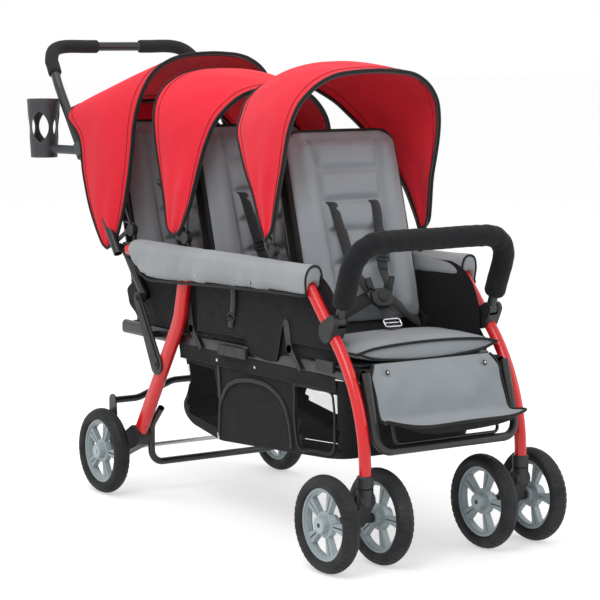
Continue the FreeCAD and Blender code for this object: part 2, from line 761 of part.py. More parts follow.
# Side plates with a raised rib and a rivet at each end
def side_plate():
    low = flat(s.plate_low_across, s.plate_low_up)
    high = flat(s.plate_top_across, s.plate_top_up)
    base = link(low, s.plate_low_radius, high, s.plate_top_radius, -plate_x, s.plate_thickness)
    face = -plate_x - s.plate_thickness / 2
    rib = link(
        low, s.plate_low_radius / 2, high, s.plate_top_radius / 2, face - s.plate_rib / 2,
        s.plate_rib,
    )
    plate = base.fuse(rib).removeSplitter()
    for place in (low, high):
        head = cross_bar(place.x, place.y, s.rivet_radius, face - s.plate_rib - s.rivet_head, face)
        plate = plate.fuse(head)
    spacer = cross_bar(
        s.plate_top_across, s.plate_top_up, s.handle_radius, -plate_x, -stub_x - s.handle_radius / 2
    )
    return plate.fuse(spacer.cut(swept(stub_path, stub_bend, s.handle_radius)))


keep("side_plates", pair(side_plate()))


# Footrest: a bent frame with a wire tray inside it
footrest_top = flat(s.footrest_top_across, s.footrest_top_up)
footrest_low = flat(s.footrest_low_across, s.footrest_low_up)
footrest_run = footrest_low - footrest_top
footrest_tilt = math.degrees(math.atan2(footrest_run.x, -footrest_run.y))
footrest_place = Placement(
    Vector(0, footrest_top.x, footrest_top.y), Rotation(X_AXIS, footrest_tilt)
)


def footrest_bar(radius):
    """A bar in its own X and Z plane, with Z up the footrest."""
    half = s.footrest_width / 2
    drop = footrest_run.Length
    corner = s.footrest_corner
    points = [
        Vector(-half, 0, 0), Vector(-half, 0, -drop), Vector(half, 0, -drop), Vector(half, 0, 0)
    ]
    shape = swept(points, [corner, corner], radius)
    shape.Placement = footrest_place
    return shape


def footrest_frame():
    return footrest_bar(s.footrest_radius).cut(footrest_bar(s.footrest_radius - s.leg_wall))


def footrest_tray():
    """The wire that carries the shelf, bent up at both ends from the lowest tube."""
    half = s.tray_spread / 2
    low = -footrest_run.Length + s.footrest_radius + s.tray_radius
    high = low + s.flap_up - s.flap_thickness - s.soft_gap - s.footrest_low_up
    high = high - s.footrest_radius - s.tray_radius
    points = [
        Vector(-half, 0, high), Vector(-half, 0, low), Vector(half, 0, low), Vector(half, 0, high)
    ]
    shape = swept(points, [s.tray_corner, s.tray_corner], s.tray_radius)
    shape.Placement = footrest_place
    return shape


keep("footrest_frame", footrest_frame())
keep("footrest_tray", footrest_tray())


# Calf panel, hung from the front seat, which turns forwards into a shelf for the feet
def calf_panel():
    thickness = s.panel_thickness
    top = flat(s.footrest_top_across + thickness * 2, s.footrest_top_up + thickness)
    root = flat(footrest_low.x + s.footrest_radius, s.flap_up)
    tip = flat(root.x - s.flap_reach, s.flap_up)
    ahead = flat(thickness, 0)
    below = flat(0, s.flap_thickness)
    points = [top - ahead, root - ahead, tip, tip - below, root - below, top]
    outline = [Part.LineSegment(a, b) for a, b in zip(points, points[1:] + points[:1])]
    return side_slab(outline, 0, s.panel_width)


keep("calf_panel", calf_panel())


# Side panels between the seats and the arm pads
def side_panel():
    x = -(leg_x - s.pad_width / 2 - s.soft_gap - s.side_panel_thickness / 2)
    base = rail_top + s.soft_gap
    front = s.side_panel_front
    curve = s.side_panel_curve
    top = s.side_panel_top
    back = s.side_panel_rear
    outline = [
        Part.LineSegment(flat(front, base), flat(front, top - curve)),
        Part.Arc(
            flat(front, top - curve),
            flat(front + curve * (1 - math.sqrt(0.5)), top - curve * (1 - math.sqrt(0.5))),
            flat(front + curve, top),
        ),
        Part.LineSegment(flat(front + curve, top), flat(back, top)),
        Part.LineSegment(flat(back, top), flat(back, base)),
        Part.LineSegment(flat(back, base), flat(front, base)),
    ]
    return side_slab(outline, x, s.side_panel_thickness)


keep("side_panels", pair(side_panel()))


# Arm pads: a crowned sleeve over each arm rail, open below, with slots for the canopy posts
def post_places():
    return (s.knob_front, s.knob_middle, s.knob_rear)


def arm_pad():
    half = s.pad_width / 2
    slot = s.pad_slot / 2
    shoulder = s.pad_top - s.pad_crown
    outline = [
        Part.LineSegment(Vector(half, 0, s.pad_bottom), Vector(half, 0, shoulder)),
        Part.Arc(Vector(half, 0, shoulder), Vector(0, 0, s.pad_top), Vector(-half, 0, shoulder)),
        Part.LineSegment(Vector(-half, 0, shoulder), Vector(-half, 0, s.pad_bottom)),
        Part.LineSegment(Vector(-half, 0, s.pad_bottom), Vector(half, 0, s.pad_bottom)),
    ]
    sleeve = face_of(outline).extrude(Vector(0, s.pad_rear - s.pad_front, 0))
    sleeve.translate(Vector(-leg_x, s.pad_front, 0))
    rear = [
        e for e in sleeve.Edges
        if e.BoundBox.YMin > s.pad_rear - s.soft_gap and e.BoundBox.ZMin > s.pad_bottom + s.pad_crown
    ]
    sleeve = sleeve.makeChamfer(s.pad_crown / 2, rear)
    top = s.arm_rail_up + s.leg_radius + s.soft_gap
    length = s.pad_rear - s.pad_slot_front + s.overrun
    inside = Part.makeBox(
        2 * slot, length, top - slot - s.pad_bottom + s.overrun,
        Vector(-leg_x - slot, s.pad_slot_front, s.pad_bottom - s.overrun),
    )
    bore = Part.makeCylinder(slot, length, Vector(-leg_x, s.pad_slot_front, top - slot), Y_AXIS)
    sleeve = sleeve.cut(inside).cut(bore)
    for across in post_places():
        room = s.post_width + 2 * s.soft_gap
        well = Part.makeBox(
            s.disc_thickness + 2 * s.soft_gap, room, s.pad_top - s.arm_rail_up,
            Vector(-s.disc_inset - s.disc_thickness - s.soft_gap, across - room / 2, s.arm_rail_up),
        )
        sleeve = sleeve.cut(well)
    return sleeve


keep("arm_pads", pair(arm_pad()))


# Basket: a tapered fabric bag under the seats, open above
def basket():
    def level(width, front, rear, up):
        outline = rounded_outline(rectangle(-width / 2, front, width / 2, rear), s.basket_corner)
        wire = Part.Wire([item.toShape() for item in outline])
        wire.translate(Vector(0, 0, up))
        return wire

    top = rail_bottom - s.soft_gap
    base = s.basket_base_up
    front = s.basket_front
    rear = s.basket_rear
    slope = s.basket_slope
    wall = s.basket_wall
    outer = Part.makeLoft([
        level(s.basket_base_width, front + slope, rear - slope, base),
        level(s.basket_top_width, front, rear, top),
    ], True, True)
    rise = (top - base - wall) / (top - base)
    inner_width = s.basket_top_width - s.basket_taper * rise - 2 * wall
    inset = slope * rise + wall
    inner = Part.makeLoft([
        level(inner_width, front + inset, rear - inset, base + wall),
        level(s.basket_top_width - 2 * wall, front + wall, rear - wall, top + s.soft_gap),
    ], True, True)
    return outer.cut(inner)


keep("basket", basket())


# Rear frame: flat-oval legs, axle, stand bar and the moulded hub brackets
rear_leg_pivot = flat(s.fold_pivot_across, s.fold_pivot_up)
rear_leg_knee = flat(s.rear_knee_across, s.rear_knee_up)
rear_leg_path = [
    rear_leg_pivot + (rear_leg_pivot - rear_leg_knee).normalize() * s.rear_leg_end,
    rear_leg_knee, flat(s.rear_foot_across, s.rear_foot_up),
]
rear_leg = hollow_body(
    "rear_leg_right", rear_leg_path, [s.rear_knee_bend], oval(s.rear_leg_width, s.rear_leg_depth),
    oval(s.rear_leg_width - 2 * s.rear_leg_wall, s.rear_leg_depth - 2 * s.rear_leg_wall), -leg_x,
)
pin_hole = new_sketch(rear_leg, "YZ_Plane", [])
bound_circle(pin_hole, rear_leg_pivot, "Sizes.pin_radius + Sizes.running_gap")
pocket_through(rear_leg, pin_hole)
keep("rear_leg_right", rear_leg)
keep("rear_leg_left", mirrored("rear_leg_left", rear_leg))
keep("rear_axle", cross_bar(
    s.wheelbase, s.wheel_radius, s.axle_radius,
    -wheel_x - s.hub_length / 2 - s.rivet_head, wheel_x + s.hub_length / 2 + s.rivet_head,
))


def leg_envelope():
    """The outside of the rear leg's lower run, for seating the hub bracket round it."""
    run = flat(s.rear_foot_across, s.rear_foot_up) - flat(s.rear_knee_across, s.rear_knee_up)
    tilt = math.degrees(math.atan2(run.x, -run.y))
    section = face_of(oval(s.rear_leg_width, s.rear_leg_depth))
    bar = section.extrude(Vector(0, 0, s.bracket_leg_radius * 4))
    bar.Placement = Placement(
        Vector(-leg_x, s.rear_foot_across, s.rear_foot_up), Rotation(X_AXIS, tilt)
    )
    return bar


def hub_bracket():
    """The moulded foot that holds the leg's end and the axle."""
    foot = flat(s.rear_foot_across, s.rear_foot_up)
    run = (foot - rear_leg_knee).normalize()
    grip = foot - run * (s.bracket_leg_radius / 2)
    width = s.rear_leg_width + 2 * s.plate_thickness
    shape = link(
        grip, s.bracket_leg_radius, flat(s.wheelbase, s.wheel_radius), s.bracket_hub_radius,
        -leg_x, width,
    )
    shape = shape.cut(leg_envelope())
    return drilled(shape, s.wheelbase, s.wheel_radius, s.axle_radius, -leg_x - width, -leg_x + width)


keep("hub_brackets", pair(hub_bracket()))


def stand_bar():
    half = leg_inner - s.plate_thickness - s.stand_radius - s.soft_gap
    top = Vector(-half, s.stand_top_across, s.stand_top_up)
    knee = Vector(-half, s.stand_across, s.stand_knee_up)
    foot = Vector(-half, s.stand_across, s.stand_low_up)
    near = [top, knee, foot]
    far = [Vector(-p.x, p.y, p.z) for p in reversed(near)]
    corner = s.stand_corner
    return tube(near + far, [corner] * 4, s.stand_radius, s.leg_wall)


keep("stand_bar", stand_bar())


# Brake bar: an arched pedal on two plates that turn about the rear axle
def brake_bar():
    half = leg_outer + s.plate_thickness + s.soft_gap + s.brake_plate
    up = s.wheel_radius + s.brake_arm_rise
    peak = s.wheel_radius + s.brake_rise
    across = s.wheelbase + s.rivet_radius
    near = [
        Vector(-half, across, up), Vector(-s.brake_shoulder / 2, across, up),
        Vector(-s.brake_flat / 2, across, peak),
    ]
    far = [Vector(-p.x, p.y, p.z) for p in reversed(near)]
    bend = s.brake_corner
    pedal = swept(near + far, [bend] * 4, s.brake_radius)
    plate = link(
        flat(across, up), s.brake_plate_radius, flat(s.wheelbase, s.wheel_radius),
        s.bracket_hub_radius, -half + s.brake_plate / 2, s.brake_plate,
    )
    bore = s.axle_radius + s.running_gap
    plate = drilled(plate, s.wheelbase, s.wheel_radius, bore, -half, -half + s.brake_plate)
    return pedal.fuse([plate, plate.mirror(Vector(0, 0, 0), X_AXIS)])


keep("brake_bar", brake_bar())


# Casters: a socket on each leg, and a fork whose axle carries two wheels
def caster_socket():
    base = s.leg_foot_up - s.socket_height / 2
    place = Vector(-leg_x, -s.caster_trail, base)
    cup = Part.makeCylinder(s.socket_radius, s.socket_height, place)
    rim_edges = [e for e in cup.Edges if e.BoundBox.ZLength < s.soft_gap]
    cup = cup.makeChamfer(s.rivet_head, rim_edges)
    seat_at = place + Vector(0, 0, s.socket_height / 2)
    seat = Part.makeCylinder(s.leg_radius, s.socket_height, seat_at)
    bore_at = place - Vector(0, 0, s.overrun)
    bore = Part.makeCylinder(s.stem_radius + s.running_gap, s.socket_height, bore_at)
    return cup.cut(seat).cut(bore)


keep("caster_sockets", pair(caster_socket()))


def caster_fork():
    base = s.leg_foot_up - s.socket_height / 2 - s.socket_gap
    swivel = Vector(0, -s.caster_trail, base)
    boss_at = swivel - Vector(0, 0, s.fork_boss_height)
    boss = Part.makeCylinder(s.fork_boss_radius, s.fork_boss_height, boss_at)
    stem = Part.makeCylinder(s.stem_radius, s.stem_height, swivel)
    high = flat(-s.caster_trail + s.rivet_head, base - s.fork_boss_height * CROWN_SHARE)
    low = flat(0, s.wheel_radius)
    low_radius = s.fork_axle_radius * FORK_END_SHARE
    high_radius = s.fork_boss_radius - s.rivet_head
    arm = link(low, low_radius, high, high_radius, 0, s.fork_thickness)
    waist = link(
        low, low_radius - s.rivet_radius, high, high_radius - s.rivet_radius,
        0, s.fork_thickness + s.overrun,
    )
    web = link(low, low_radius, high, high_radius, 0, s.rim_web)
    arm = arm.cut(waist).fuse(web)
    reach = s.caster_gauge / 2 - s.hub_length / 2 - s.soft_gap
    tube_part = cross_bar(0, s.wheel_radius, s.fork_axle_radius, -reach, reach)
    tip = s.caster_gauge / 2 + s.hub_length / 2
    axle = cross_bar(0, s.wheel_radius, s.axle_radius, -tip, tip)
    return boss.fuse([stem, arm, tube_part, axle]).removeSplitter()


for name, side in sides:
    shape = caster_fork()
    shape.translate(Vector(side * leg_x, 0, 0))
    keep(f"caster_fork_{name}", shape)


# Handle, grips and cup holder
handle_corner = Vector(-s.handle_top_width / 2, s.handle_top_across, s.handle_top_up)
handle_flare = flare + Vector(-handle_x, 0, 0)


def handle_points():
    tail = pivot - rise_way * s.handle_tail + Vector(-handle_x, 0, 0)
    near = [tail, handle_flare, handle_corner]
    return near + [Vector(-p.x, p.y, p.z) for p in reversed(near)]


def handle_tube():
    bends = [s.flare_bend, s.handle_corner, s.handle_corner, s.flare_bend]
    frame = tube(handle_points(), bends, s.handle_radius, s.handle_wall)
    for side in (RIGHT, LEFT):
        frame = frame.cut(cross_bar(
            s.handle_pivot_across, s.handle_pivot_up, s.pivot_pin_radius + s.running_gap,
            side * (handle_x + s.grip_radius), side * (handle_x - s.grip_radius),
        ))
    return frame


keep("handle_tube", handle_tube())


def grip():
    """A foam grip round one corner of the handle."""
    start = handle_flare + (handle_corner - handle_flare) * GRIP_START_SHARE
    end = Vector(-s.grip_end, s.handle_top_across, s.handle_top_up)
    path = [start, handle_corner, end]
    outer = swept(path, [s.handle_corner], s.grip_radius)
    around = 2 * math.pi * s.grip_radius
    rounds = [e for e in outer.Edges if e.Curve.TypeId == "Part::GeomCircle"]
    rounds = [e for e in rounds if abs(e.Length - around) < s.soft_gap]
    ends = [e for e in rounds if nearest(e.Curve.Center, (start, end)) < s.soft_gap]
    outer = outer.makeFillet(s.rivet_head * 2, ends)
    return outer.cut(swept(path, [s.handle_corner], s.handle_radius))


def nearest(place, others):
    """The distance from a place to the nearest of some others."""
    return min((place - other).Length for other in others)


keep("grips", pair(grip()))


def cup_holder():
    """A tapered cup with four lens-shaped windows and a clamp round the handle."""
    axis = Vector(-s.cup_offset, s.cup_across, s.cup_base_up)
    outer = Part.makeCone(s.cup_base_radius, s.cup_top_radius, s.cup_height, axis)
    taper = (s.cup_top_radius - s.cup_base_radius) / s.cup_height
    base = s.cup_base_radius - s.cup_wall + taper * s.cup_wall
    top = s.cup_top_radius - s.cup_wall
    inner = Part.makeCone(
        base, top + taper * s.overrun, s.cup_height - s.cup_wall + s.overrun,
        axis + Vector(0, 0, s.cup_wall),
    )
    cup = outer.cut(inner)
    window = cup_window()
    for number in range(CUP_WINDOWS):
        cutter = window.copy()
        cutter.rotate(Vector(0, 0, 0), Z_AXIS, HALF_WINDOW_TURN + number * 360 / CUP_WINDOWS)
        rise = s.cup_wall * 2 + s.cup_window_height / 2 + s.cup_band
        cutter.translate(axis + Vector(0, 0, rise))
        cup = cup.cut(cutter)
    middle = axis.z + s.cup_wall * 2 + s.cup_band / 2
    on_tube = pivot + rise_way * ((middle - pivot.z) / rise_way.z) + Vector(-handle_x, 0, 0)
    along = rise_way * (s.clamp_length / 2)
    ring = Part.makeCylinder(s.clamp_radius, s.clamp_length, on_tube - along, rise_way)
    wall_at = Vector(-s.cup_offset, s.cup_across, middle)
    arm_way = wall_at - on_tube
    arm_length = arm_way.Length - s.cup_base_radius + s.cup_wall
    arm = Part.makeCylinder(s.clamp_radius * CROWN_SHARE, arm_length, on_tube, arm_way)
    bore = Part.makeCylinder(
        s.handle_radius + s.running_gap, s.clamp_length * 2, on_tube - along * 2, rise_way
    )
    holder = cup.fuse([ring, arm]).cut(bore)
    snap_x = -handle_x + s.handle_radius - s.soft_gap
    snap_side = Part.makeBox(
        s.clamp_radius, s.clamp_radius * 4, s.clamp_length * 2,
        Vector(snap_x, on_tube.y - s.clamp_radius * 2, on_tube.z - s.clamp_length),
    )
    return holder.cut(inner).cut(snap_side)


def cup_window():
    """A lens that cuts outwards along X from the cup's axis."""
    half_height = s.cup_window_height / 2
    half_width = s.cup_window_width / 2
    top = Vector(0, 0, half_height)
    base = Vector(0, 0, -half_height)
    edges = [
        Part.Arc(base, Vector(0, half_width, 0), top),
        Part.Arc(top, Vector(0, -half_width, 0), base),
    ]
    lens = face_of(edges)
    return lens.extrude(Vector(s.cup_top_radius + s.overrun, 0, 0))


keep("cup_holder", cup_holder())


# Bumper bar with its fabric sleeve, hinged in a clamp on each front leg
bumper_place = Placement(
    Vector(0, s.bumper_pivot_across, s.bumper_pivot_up), Rotation(X_AXIS, s.bumper_lean)
)


def bumper_points(start):
    half = s.bumper_width / 2
    near = [Vector(-half, 0, start), Vector(-half, 0, s.bumper_reach)]
    return near + [Vector(-p.x, p.y, p.z) for p in reversed(near)]


def bumper_bar():
    bend = [s.bumper_corner] * 2
    bar = tube(bumper_points(s.bumper_radius), bend, s.bumper_radius, s.handle_wall)
    for side in (RIGHT, LEFT):
        x = side * s.bumper_width / 2
        eye = cross_bar(0, 0, s.bumper_end_radius, x - s.bumper_radius, x + s.bumper_radius)
        bore = s.pin_radius + s.running_gap
        eye = drilled(eye, 0, 0, bore, x - s.bumper_radius, x + s.bumper_radius)
        bar = bar.fuse(eye)
    bar.Placement = bumper_place
    return bar


def bumper_sleeve():
    bend = [s.bumper_corner] * 2
    points = bumper_points(s.bumper_sleeve_start)
    outer = swept(points, bend, s.bumper_sleeve_radius)
    sleeve = outer.cut(swept(points, bend, s.bumper_radius + s.soft_gap))
    sleeve.Placement = bumper_place
    return sleeve


def bumper_clamp():
    """A moulded clamp on the leg with a forked nose for the bumper bar's eye."""
    x = -(s.bumper_width / 2 + s.footrest_radius / 2)
    leg_at = flat(s.clamp_leg_across, s.clamp_leg_up)
    nose = flat(s.bumper_pivot_across, s.bumper_pivot_up)
    block = link(leg_at, s.clamp_grip_radius, nose, s.clamp_nose_radius, x, s.clamp_width)
    rim_edges = [e for e in block.Edges if e.BoundBox.XLength < s.soft_gap]
    block = block.makeFillet(s.rivet_head, rim_edges)
    leg_points = [Vector(-leg_x, p.x, p.y) for p in leg_path]
    block = block.cut(swept(leg_points, [s.leg_knee_bend, s.arm_rail_bend], s.leg_radius))
    half = s.bumper_radius + s.soft_gap
    bar_x = -s.bumper_width / 2
    mouth_radius = s.bumper_end_radius + 2 * s.rivet_head
    mouth = cross_bar(nose.x, nose.y, mouth_radius, bar_x - half, bar_x + half)
    block = block.cut(mouth)
    reach = s.clamp_width / 2
    return block.fuse(cross_bar(nose.x, nose.y, s.pin_radius, x - reach, x + reach))


keep("bumper_bar", bumper_bar())
keep("bumper_sleeve", bumper_sleeve())
keep("bumper_clamps", pair(bumper_clamp()))


# Canopies: posts with knobs on the arm rails, a fixed rear bow, a folding front bow and the fabric
HOODS = {
    "front": (
        s.knob_front, s.front_hood_fore, s.front_hood_fore_height,
        s.front_hood_aft, s.front_hood_aft_height,
    ),
    "middle": (
        s.knob_middle, s.middle_hood_fore, s.middle_hood_fore_height,
        s.middle_hood_aft, s.middle_hood_aft_height,
    ),
    "rear": (
        s.knob_rear, s.rear_hood_fore, s.rear_hood_fore_height,
        s.rear_hood_aft, s.rear_hood_aft_height,
    ),
}
bow_inset = s.canopy_wall + s.bow_ease + s.bow_radius
bow_half = s.canopy_half_width - bow_inset
rear_bow_half = s.disc_inset + s.disc_thickness / 2


def hood_plane(across, tilt):
    """The plane of a bow through its knobs: X across and Y up the bow, leaning forwards by the tilt."""
    return Placement(Vector(0, across, s.knob_up), Rotation(X_AXIS, 90 + tilt))


def bow_points(half, foot, height):
    return [
        Vector(-half, foot, 0), Vector(-half, height, 0),
        Vector(half, height, 0), Vector(half, foot, 0),
    ]


def bow(half, foot, height, across, tilt):
    corner = s.canopy_corner - bow_inset
    shape = swept(bow_points(half, foot, height), [corner] * 2, s.bow_radius)
    shape.Placement = hood_plane(across, tilt)
    return shape


def knob_post(across):
    """A post on the arm rail with a disc for the bows, a pin and an outer knob."""
    x0 = -s.disc_inset
    x1 = x0 - s.disc_thickness
    base = s.arm_rail_up
    disc = cross_bar(across, s.knob_up, s.disc_radius, x0, x1)
    post = Part.makeBox(
        s.disc_thickness, s.post_width, s.knob_up - base,
        Vector(x1, across - s.post_width / 2, base),
    )
    rail = Part.makeCylinder(
        s.leg_radius, s.post_width * 2, Vector(-leg_x, across - s.post_width, base), Y_AXIS
    )
    post = post.cut(rail)
    post = max(post.Solids, key=lambda piece: piece.CenterOfMass.z)
    knob_face = x1 - s.hub_thickness - 2 * s.soft_gap
    pin = cross_bar(across, s.knob_up, s.knob_pin_radius, x0, knob_face - s.knob_thickness / 2)
    knob = cross_bar(across, s.knob_up, s.knob_radius, knob_face, knob_face - s.knob_thickness)
    outer_edges = [e for e in knob.Edges if e.BoundBox.XMax < knob_face - s.knob_thickness / 2]
    knob = knob.makeFillet(s.rivet_head, outer_edges)
    return disc.fuse([post, pin, knob]).removeSplitter()


def bow_height(height, other, swing):
    """A bow's height under fabric that has begun to sag a hem's width from its edge."""
    middle = (height + other) / 2 - s.canopy_sag
    run = math.radians(swing / 2) * middle
    return height - bow_inset - max(0, 2 * (height - middle)) * s.canopy_foot / run


def front_bow(across, tilt, height):
    """The moving bow with a hub disc at each end."""
    shape = bow(bow_half, 0, height, across, tilt)
    x0 = -s.disc_inset - s.disc_thickness - s.soft_gap
    x1 = x0 - s.hub_thickness
    hub = cross_bar(across, s.knob_up, s.disc_radius, x0, x1)
    shape = shape.fuse([hub, hub.mirror(Vector(0, 0, 0), X_AXIS)])
    span = s.canopy_half_width * 2
    bore = cross_bar(across, s.knob_up, s.knob_pin_radius + s.running_gap, -span, span)
    reach = s.knob_radius
    lane = s.disc_inset + s.disc_thickness + s.soft_gap
    between = Part.makeBox(
        2 * lane, 2 * reach, 2 * reach, Vector(-lane, across - reach, s.knob_up - reach)
    )
    beside = cross_bar(
        across, s.knob_up, s.knob_radius + s.soft_gap, x1 - s.soft_gap, x1 - s.knob_radius
    )
    shape = shape.cut(bore).cut(between)
    return shape.cut([beside, beside.mirror(Vector(0, 0, 0), X_AXIS)])


def hood_run(half, height, corner, base):
    """One line over the canopy from foot to foot: two sides, two corners and a crowned top."""
    turn = corner * (1 - math.sqrt(0.5))
    points = [
        Vector(-half, base, 0), Vector(-half, height - corner, 0),
        Vector(-half + turn, height - turn, 0), Vector(-half + corner, height, 0),
        Vector(0, height + s.canopy_lift / 4, 0),
    ]
    points += [Vector(-p.x, p.y, 0) for p in reversed(points[:-1])]
    return points


def hood_section(half, height, across, tilt, base):
    """One closed section of the canopy, as thick as its fabric."""
    wall = s.canopy_wall
    outer = hood_run(half, height, s.canopy_corner, base)
    inner = hood_run(half - wall, height - wall, s.canopy_corner - wall, base)
    edges = []
    for run in (outer, list(reversed(inner))):
        edges.append(Part.LineSegment(run[0], run[1]))
        edges.append(Part.Arc(run[1], run[2], run[3]))
        edges.append(Part.Arc(run[3], run[4], run[5]))
        edges.append(Part.Arc(run[5], run[6], run[7]))
        edges.append(Part.LineSegment(run[7], run[8]))
        other = inner[-1] if run is outer else outer[0]
        edges.append(Part.LineSegment(run[8], other))
    wire = Part.Wire([edge.toShape() for edge in edges])
    wire.Placement = hood_plane(across, tilt)
    return wire


def canopy(across, fore, fore_height, aft, aft_height):
    """The fabric: held on both bows, with a hem past each of them and a sag between."""
    aft_half = s.canopy_half_width - 2 * s.bow_ease
    middle_half = (s.canopy_half_width + aft_half) / 2
    middle_height = (fore_height + aft_height) / 2 - s.canopy_sag
    stations = (
        (s.canopy_half_width, fore_height, fore, -s.canopy_foot),
        (middle_half, middle_height, (fore - aft) / 2, 0),
        (aft_half, aft_height, -aft, s.canopy_foot),
    )
    base = s.knob_radius + s.overrun
    return loft([
        hood_section(half, height, across + hem, tilt, base)
        for half, height, tilt, hem in stations
    ])


rear_bows = []
posts = []
for seat, (across, fore, fore_height, aft, aft_height) in HOODS.items():
    posts.append(pair(knob_post(across)))
    aft_bow_height = bow_height(aft_height, fore_height, fore + aft)
    fore_bow_height = bow_height(fore_height, aft_height, fore + aft)
    rear_bows.append(bow(rear_bow_half, s.disc_radius, aft_bow_height, across, -aft))
    keep(f"canopy_bow_{seat}", front_bow(across, fore, fore_bow_height))
    keep(f"canopy_{seat}", canopy(across, fore, fore_height, aft, aft_height))
keep("canopy_posts", Part.makeCompound(posts))
keep("canopy_rear_bows", Part.makeCompound(rear_bows))


# Rail plugs, latch blocks, elbows and harness buckles
def rail_plug():
    """The plug in the rear end of the rail, with a head as wide as the rail."""
    start = s.rail_rear - s.rail_cap
    hollow = oval(s.rail_width - 2 * s.rail_wall, s.rail_height - 2 * s.rail_wall)
    plug = face_of(hollow).extrude(Vector(0, 0, s.rail_cap))
    head = face_of(oval(s.rail_width, s.rail_height)).extrude(Vector(0, 0, s.rivet_radius))
    head.translate(Vector(0, 0, s.rail_cap))
    cap = plug.fuse(head)
    cap.Placement = Placement(Vector(-rail_x, start, s.rail_level), Rotation(Vector(1, 0, 0), -90))
    return cap


def rail_block():
    """A moulded latch block on the outside of the rail."""
    block = Part.makeBox(
        s.block_depth, s.block_length, s.block_height,
        Vector(-rail_outer - s.block_depth, s.block_place, s.rail_level - s.block_height / 2),
    )
    return block.makeChamfer(s.rivet_head, [e for e in block.Edges if e.BoundBox.XMax < -rail_outer])


keep("rail_fittings", Part.makeCompound([
    pair(rail_plug()), pair(rail_block()), pair(rail_elbow()),
]))


def harness():
    """The crotch strap with the buckle where the five straps meet."""
    foot = flat(s.harness_foot, cushion_top + s.soft_gap)
    face = back_place(0, s.buckle_up - s.hinge_up, -s.bolster_rise)
    hub = flat(face.x - s.buckle_thickness * 2, s.buckle_up)
    way = (hub - foot).normalize()
    across = Vector(-way.y, way.x, 0) * (s.harness_thickness / 2)
    corners = [foot - across, foot + across, hub + across, hub - across]
    outline = [Part.LineSegment(a, b) for a, b in zip(corners, corners[1:] + corners[:1])]
    strap = side_slab(outline, 0, s.harness_width)
    lifted = max(0, cushion_top + s.soft_gap - strap.BoundBox.ZMin)
    strap.translate(Vector(0, 0, lifted))
    outline = rounded_outline(
        rectangle(-s.buckle_width / 2, 0, s.buckle_width / 2, s.buckle_height), s.bracket_radius
    )
    buckle = face_of(outline).extrude(Vector(0, 0, s.buckle_thickness))
    tilt = math.degrees(math.atan2(way.y, way.x))
    thickness = s.buckle_thickness / 2
    across = hub.x + way.y * thickness - way.x * s.buckle_height / 3
    place = Vector(0, across, hub.y - way.x * thickness)
    buckle.Placement = Placement(place, Rotation(X_AXIS, tilt))
    return strap.fuse(buckle)


buckles = []
for number in range(len(seats)):
    shape = harness()
    shape.translate(Vector(0, number * s.seat_pitch, 0))
    buckles.append(shape)
keep("harness_buckles", Part.makeCompound(buckles))


# Check every object, then write one file for each sub-part
doc.recompute()
for item in doc.Objects:
    if "Invalid" in item.State or "Error" in item.State:
        raise ValueError(f"{item.Label} failed to build: {item.State}")
os.makedirs("parts", exist_ok=True)
for item in nodes:
    shape = item.Shape
    if shape.isNull() or not shape.isValid() or not shape.Solids:
        raise ValueError(f"{item.Label} has no valid shape")
    shape.exportStep(f"parts/{item.Label}.step")
    print(item.Label, len(shape.Solids), round(shape.Volume / 1000, 1))
print(len(nodes), "sub-parts")
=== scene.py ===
import math

import bmesh
import bpy
import numpy as np
from mathutils import Matrix, Vector
from mathutils.bvhtree import BVHTree


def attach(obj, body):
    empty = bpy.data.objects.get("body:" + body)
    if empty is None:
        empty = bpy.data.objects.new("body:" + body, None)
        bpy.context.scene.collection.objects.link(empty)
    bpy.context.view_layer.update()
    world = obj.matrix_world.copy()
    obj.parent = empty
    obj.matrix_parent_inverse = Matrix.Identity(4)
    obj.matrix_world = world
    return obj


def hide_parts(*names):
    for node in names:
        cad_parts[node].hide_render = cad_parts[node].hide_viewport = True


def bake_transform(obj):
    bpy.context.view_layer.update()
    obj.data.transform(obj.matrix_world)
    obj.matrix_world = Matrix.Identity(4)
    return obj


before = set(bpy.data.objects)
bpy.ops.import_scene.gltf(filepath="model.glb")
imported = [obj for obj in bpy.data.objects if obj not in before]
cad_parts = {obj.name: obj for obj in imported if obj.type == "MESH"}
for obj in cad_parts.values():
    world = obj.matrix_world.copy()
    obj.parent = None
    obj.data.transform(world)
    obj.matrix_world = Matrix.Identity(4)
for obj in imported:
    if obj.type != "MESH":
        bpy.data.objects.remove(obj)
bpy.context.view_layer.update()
scene = bpy.context.scene

# Places are given in millimetres, counted along Y from the front wheel axle, as in the part's source
MM = 0.001
SETBACK = 606
RIGHT = -1
LEFT = 1
SIDES = (("right", RIGHT), ("left", LEFT))
SEATS = ("front", "middle", "rear")
SEAT_PITCH = 350


# Camera, floor and light
LENS = 134.1
CAMERA_SPOT = (-2.7604, -4.1964, 1.0744)
CAMERA_DOWN = 6.835
CAMERA_ROUND = 34.0855
WORLD_LIGHT = 0.62
FLOOR_REACH = 40
FLOOR_DROP = 0.0004
FLOOR_GREY = (0.78, 0.78, 0.78, 1)
FLOOR_GLOW = 0.5
LIGHT_AIM = (0, 0, 0.5)
LAMPS = (
    ("key", (-2.6, -2.2, 3.6), 2.4, 62),
    ("fill", (3.2, -3.0, 2.2), 2.6, 22),
    ("top", (-0.4, 0.6, 4.2), 3.0, 40),
)


def place(x, y, z):
    """A point of the frame from millimetres in the part's own counting."""
    return Vector((x * MM, (y - SETBACK) * MM, z * MM))


camera_data = bpy.data.cameras.new("camera")
camera_data.lens = LENS
camera_data.sensor_width = 36
camera = bpy.data.objects.new("camera", camera_data)
scene.collection.objects.link(camera)
camera.location = CAMERA_SPOT
camera.rotation_euler = (math.radians(90 - CAMERA_DOWN), 0, math.radians(-CAMERA_ROUND))
scene.camera = camera
scene.view_settings.view_transform = "Standard"


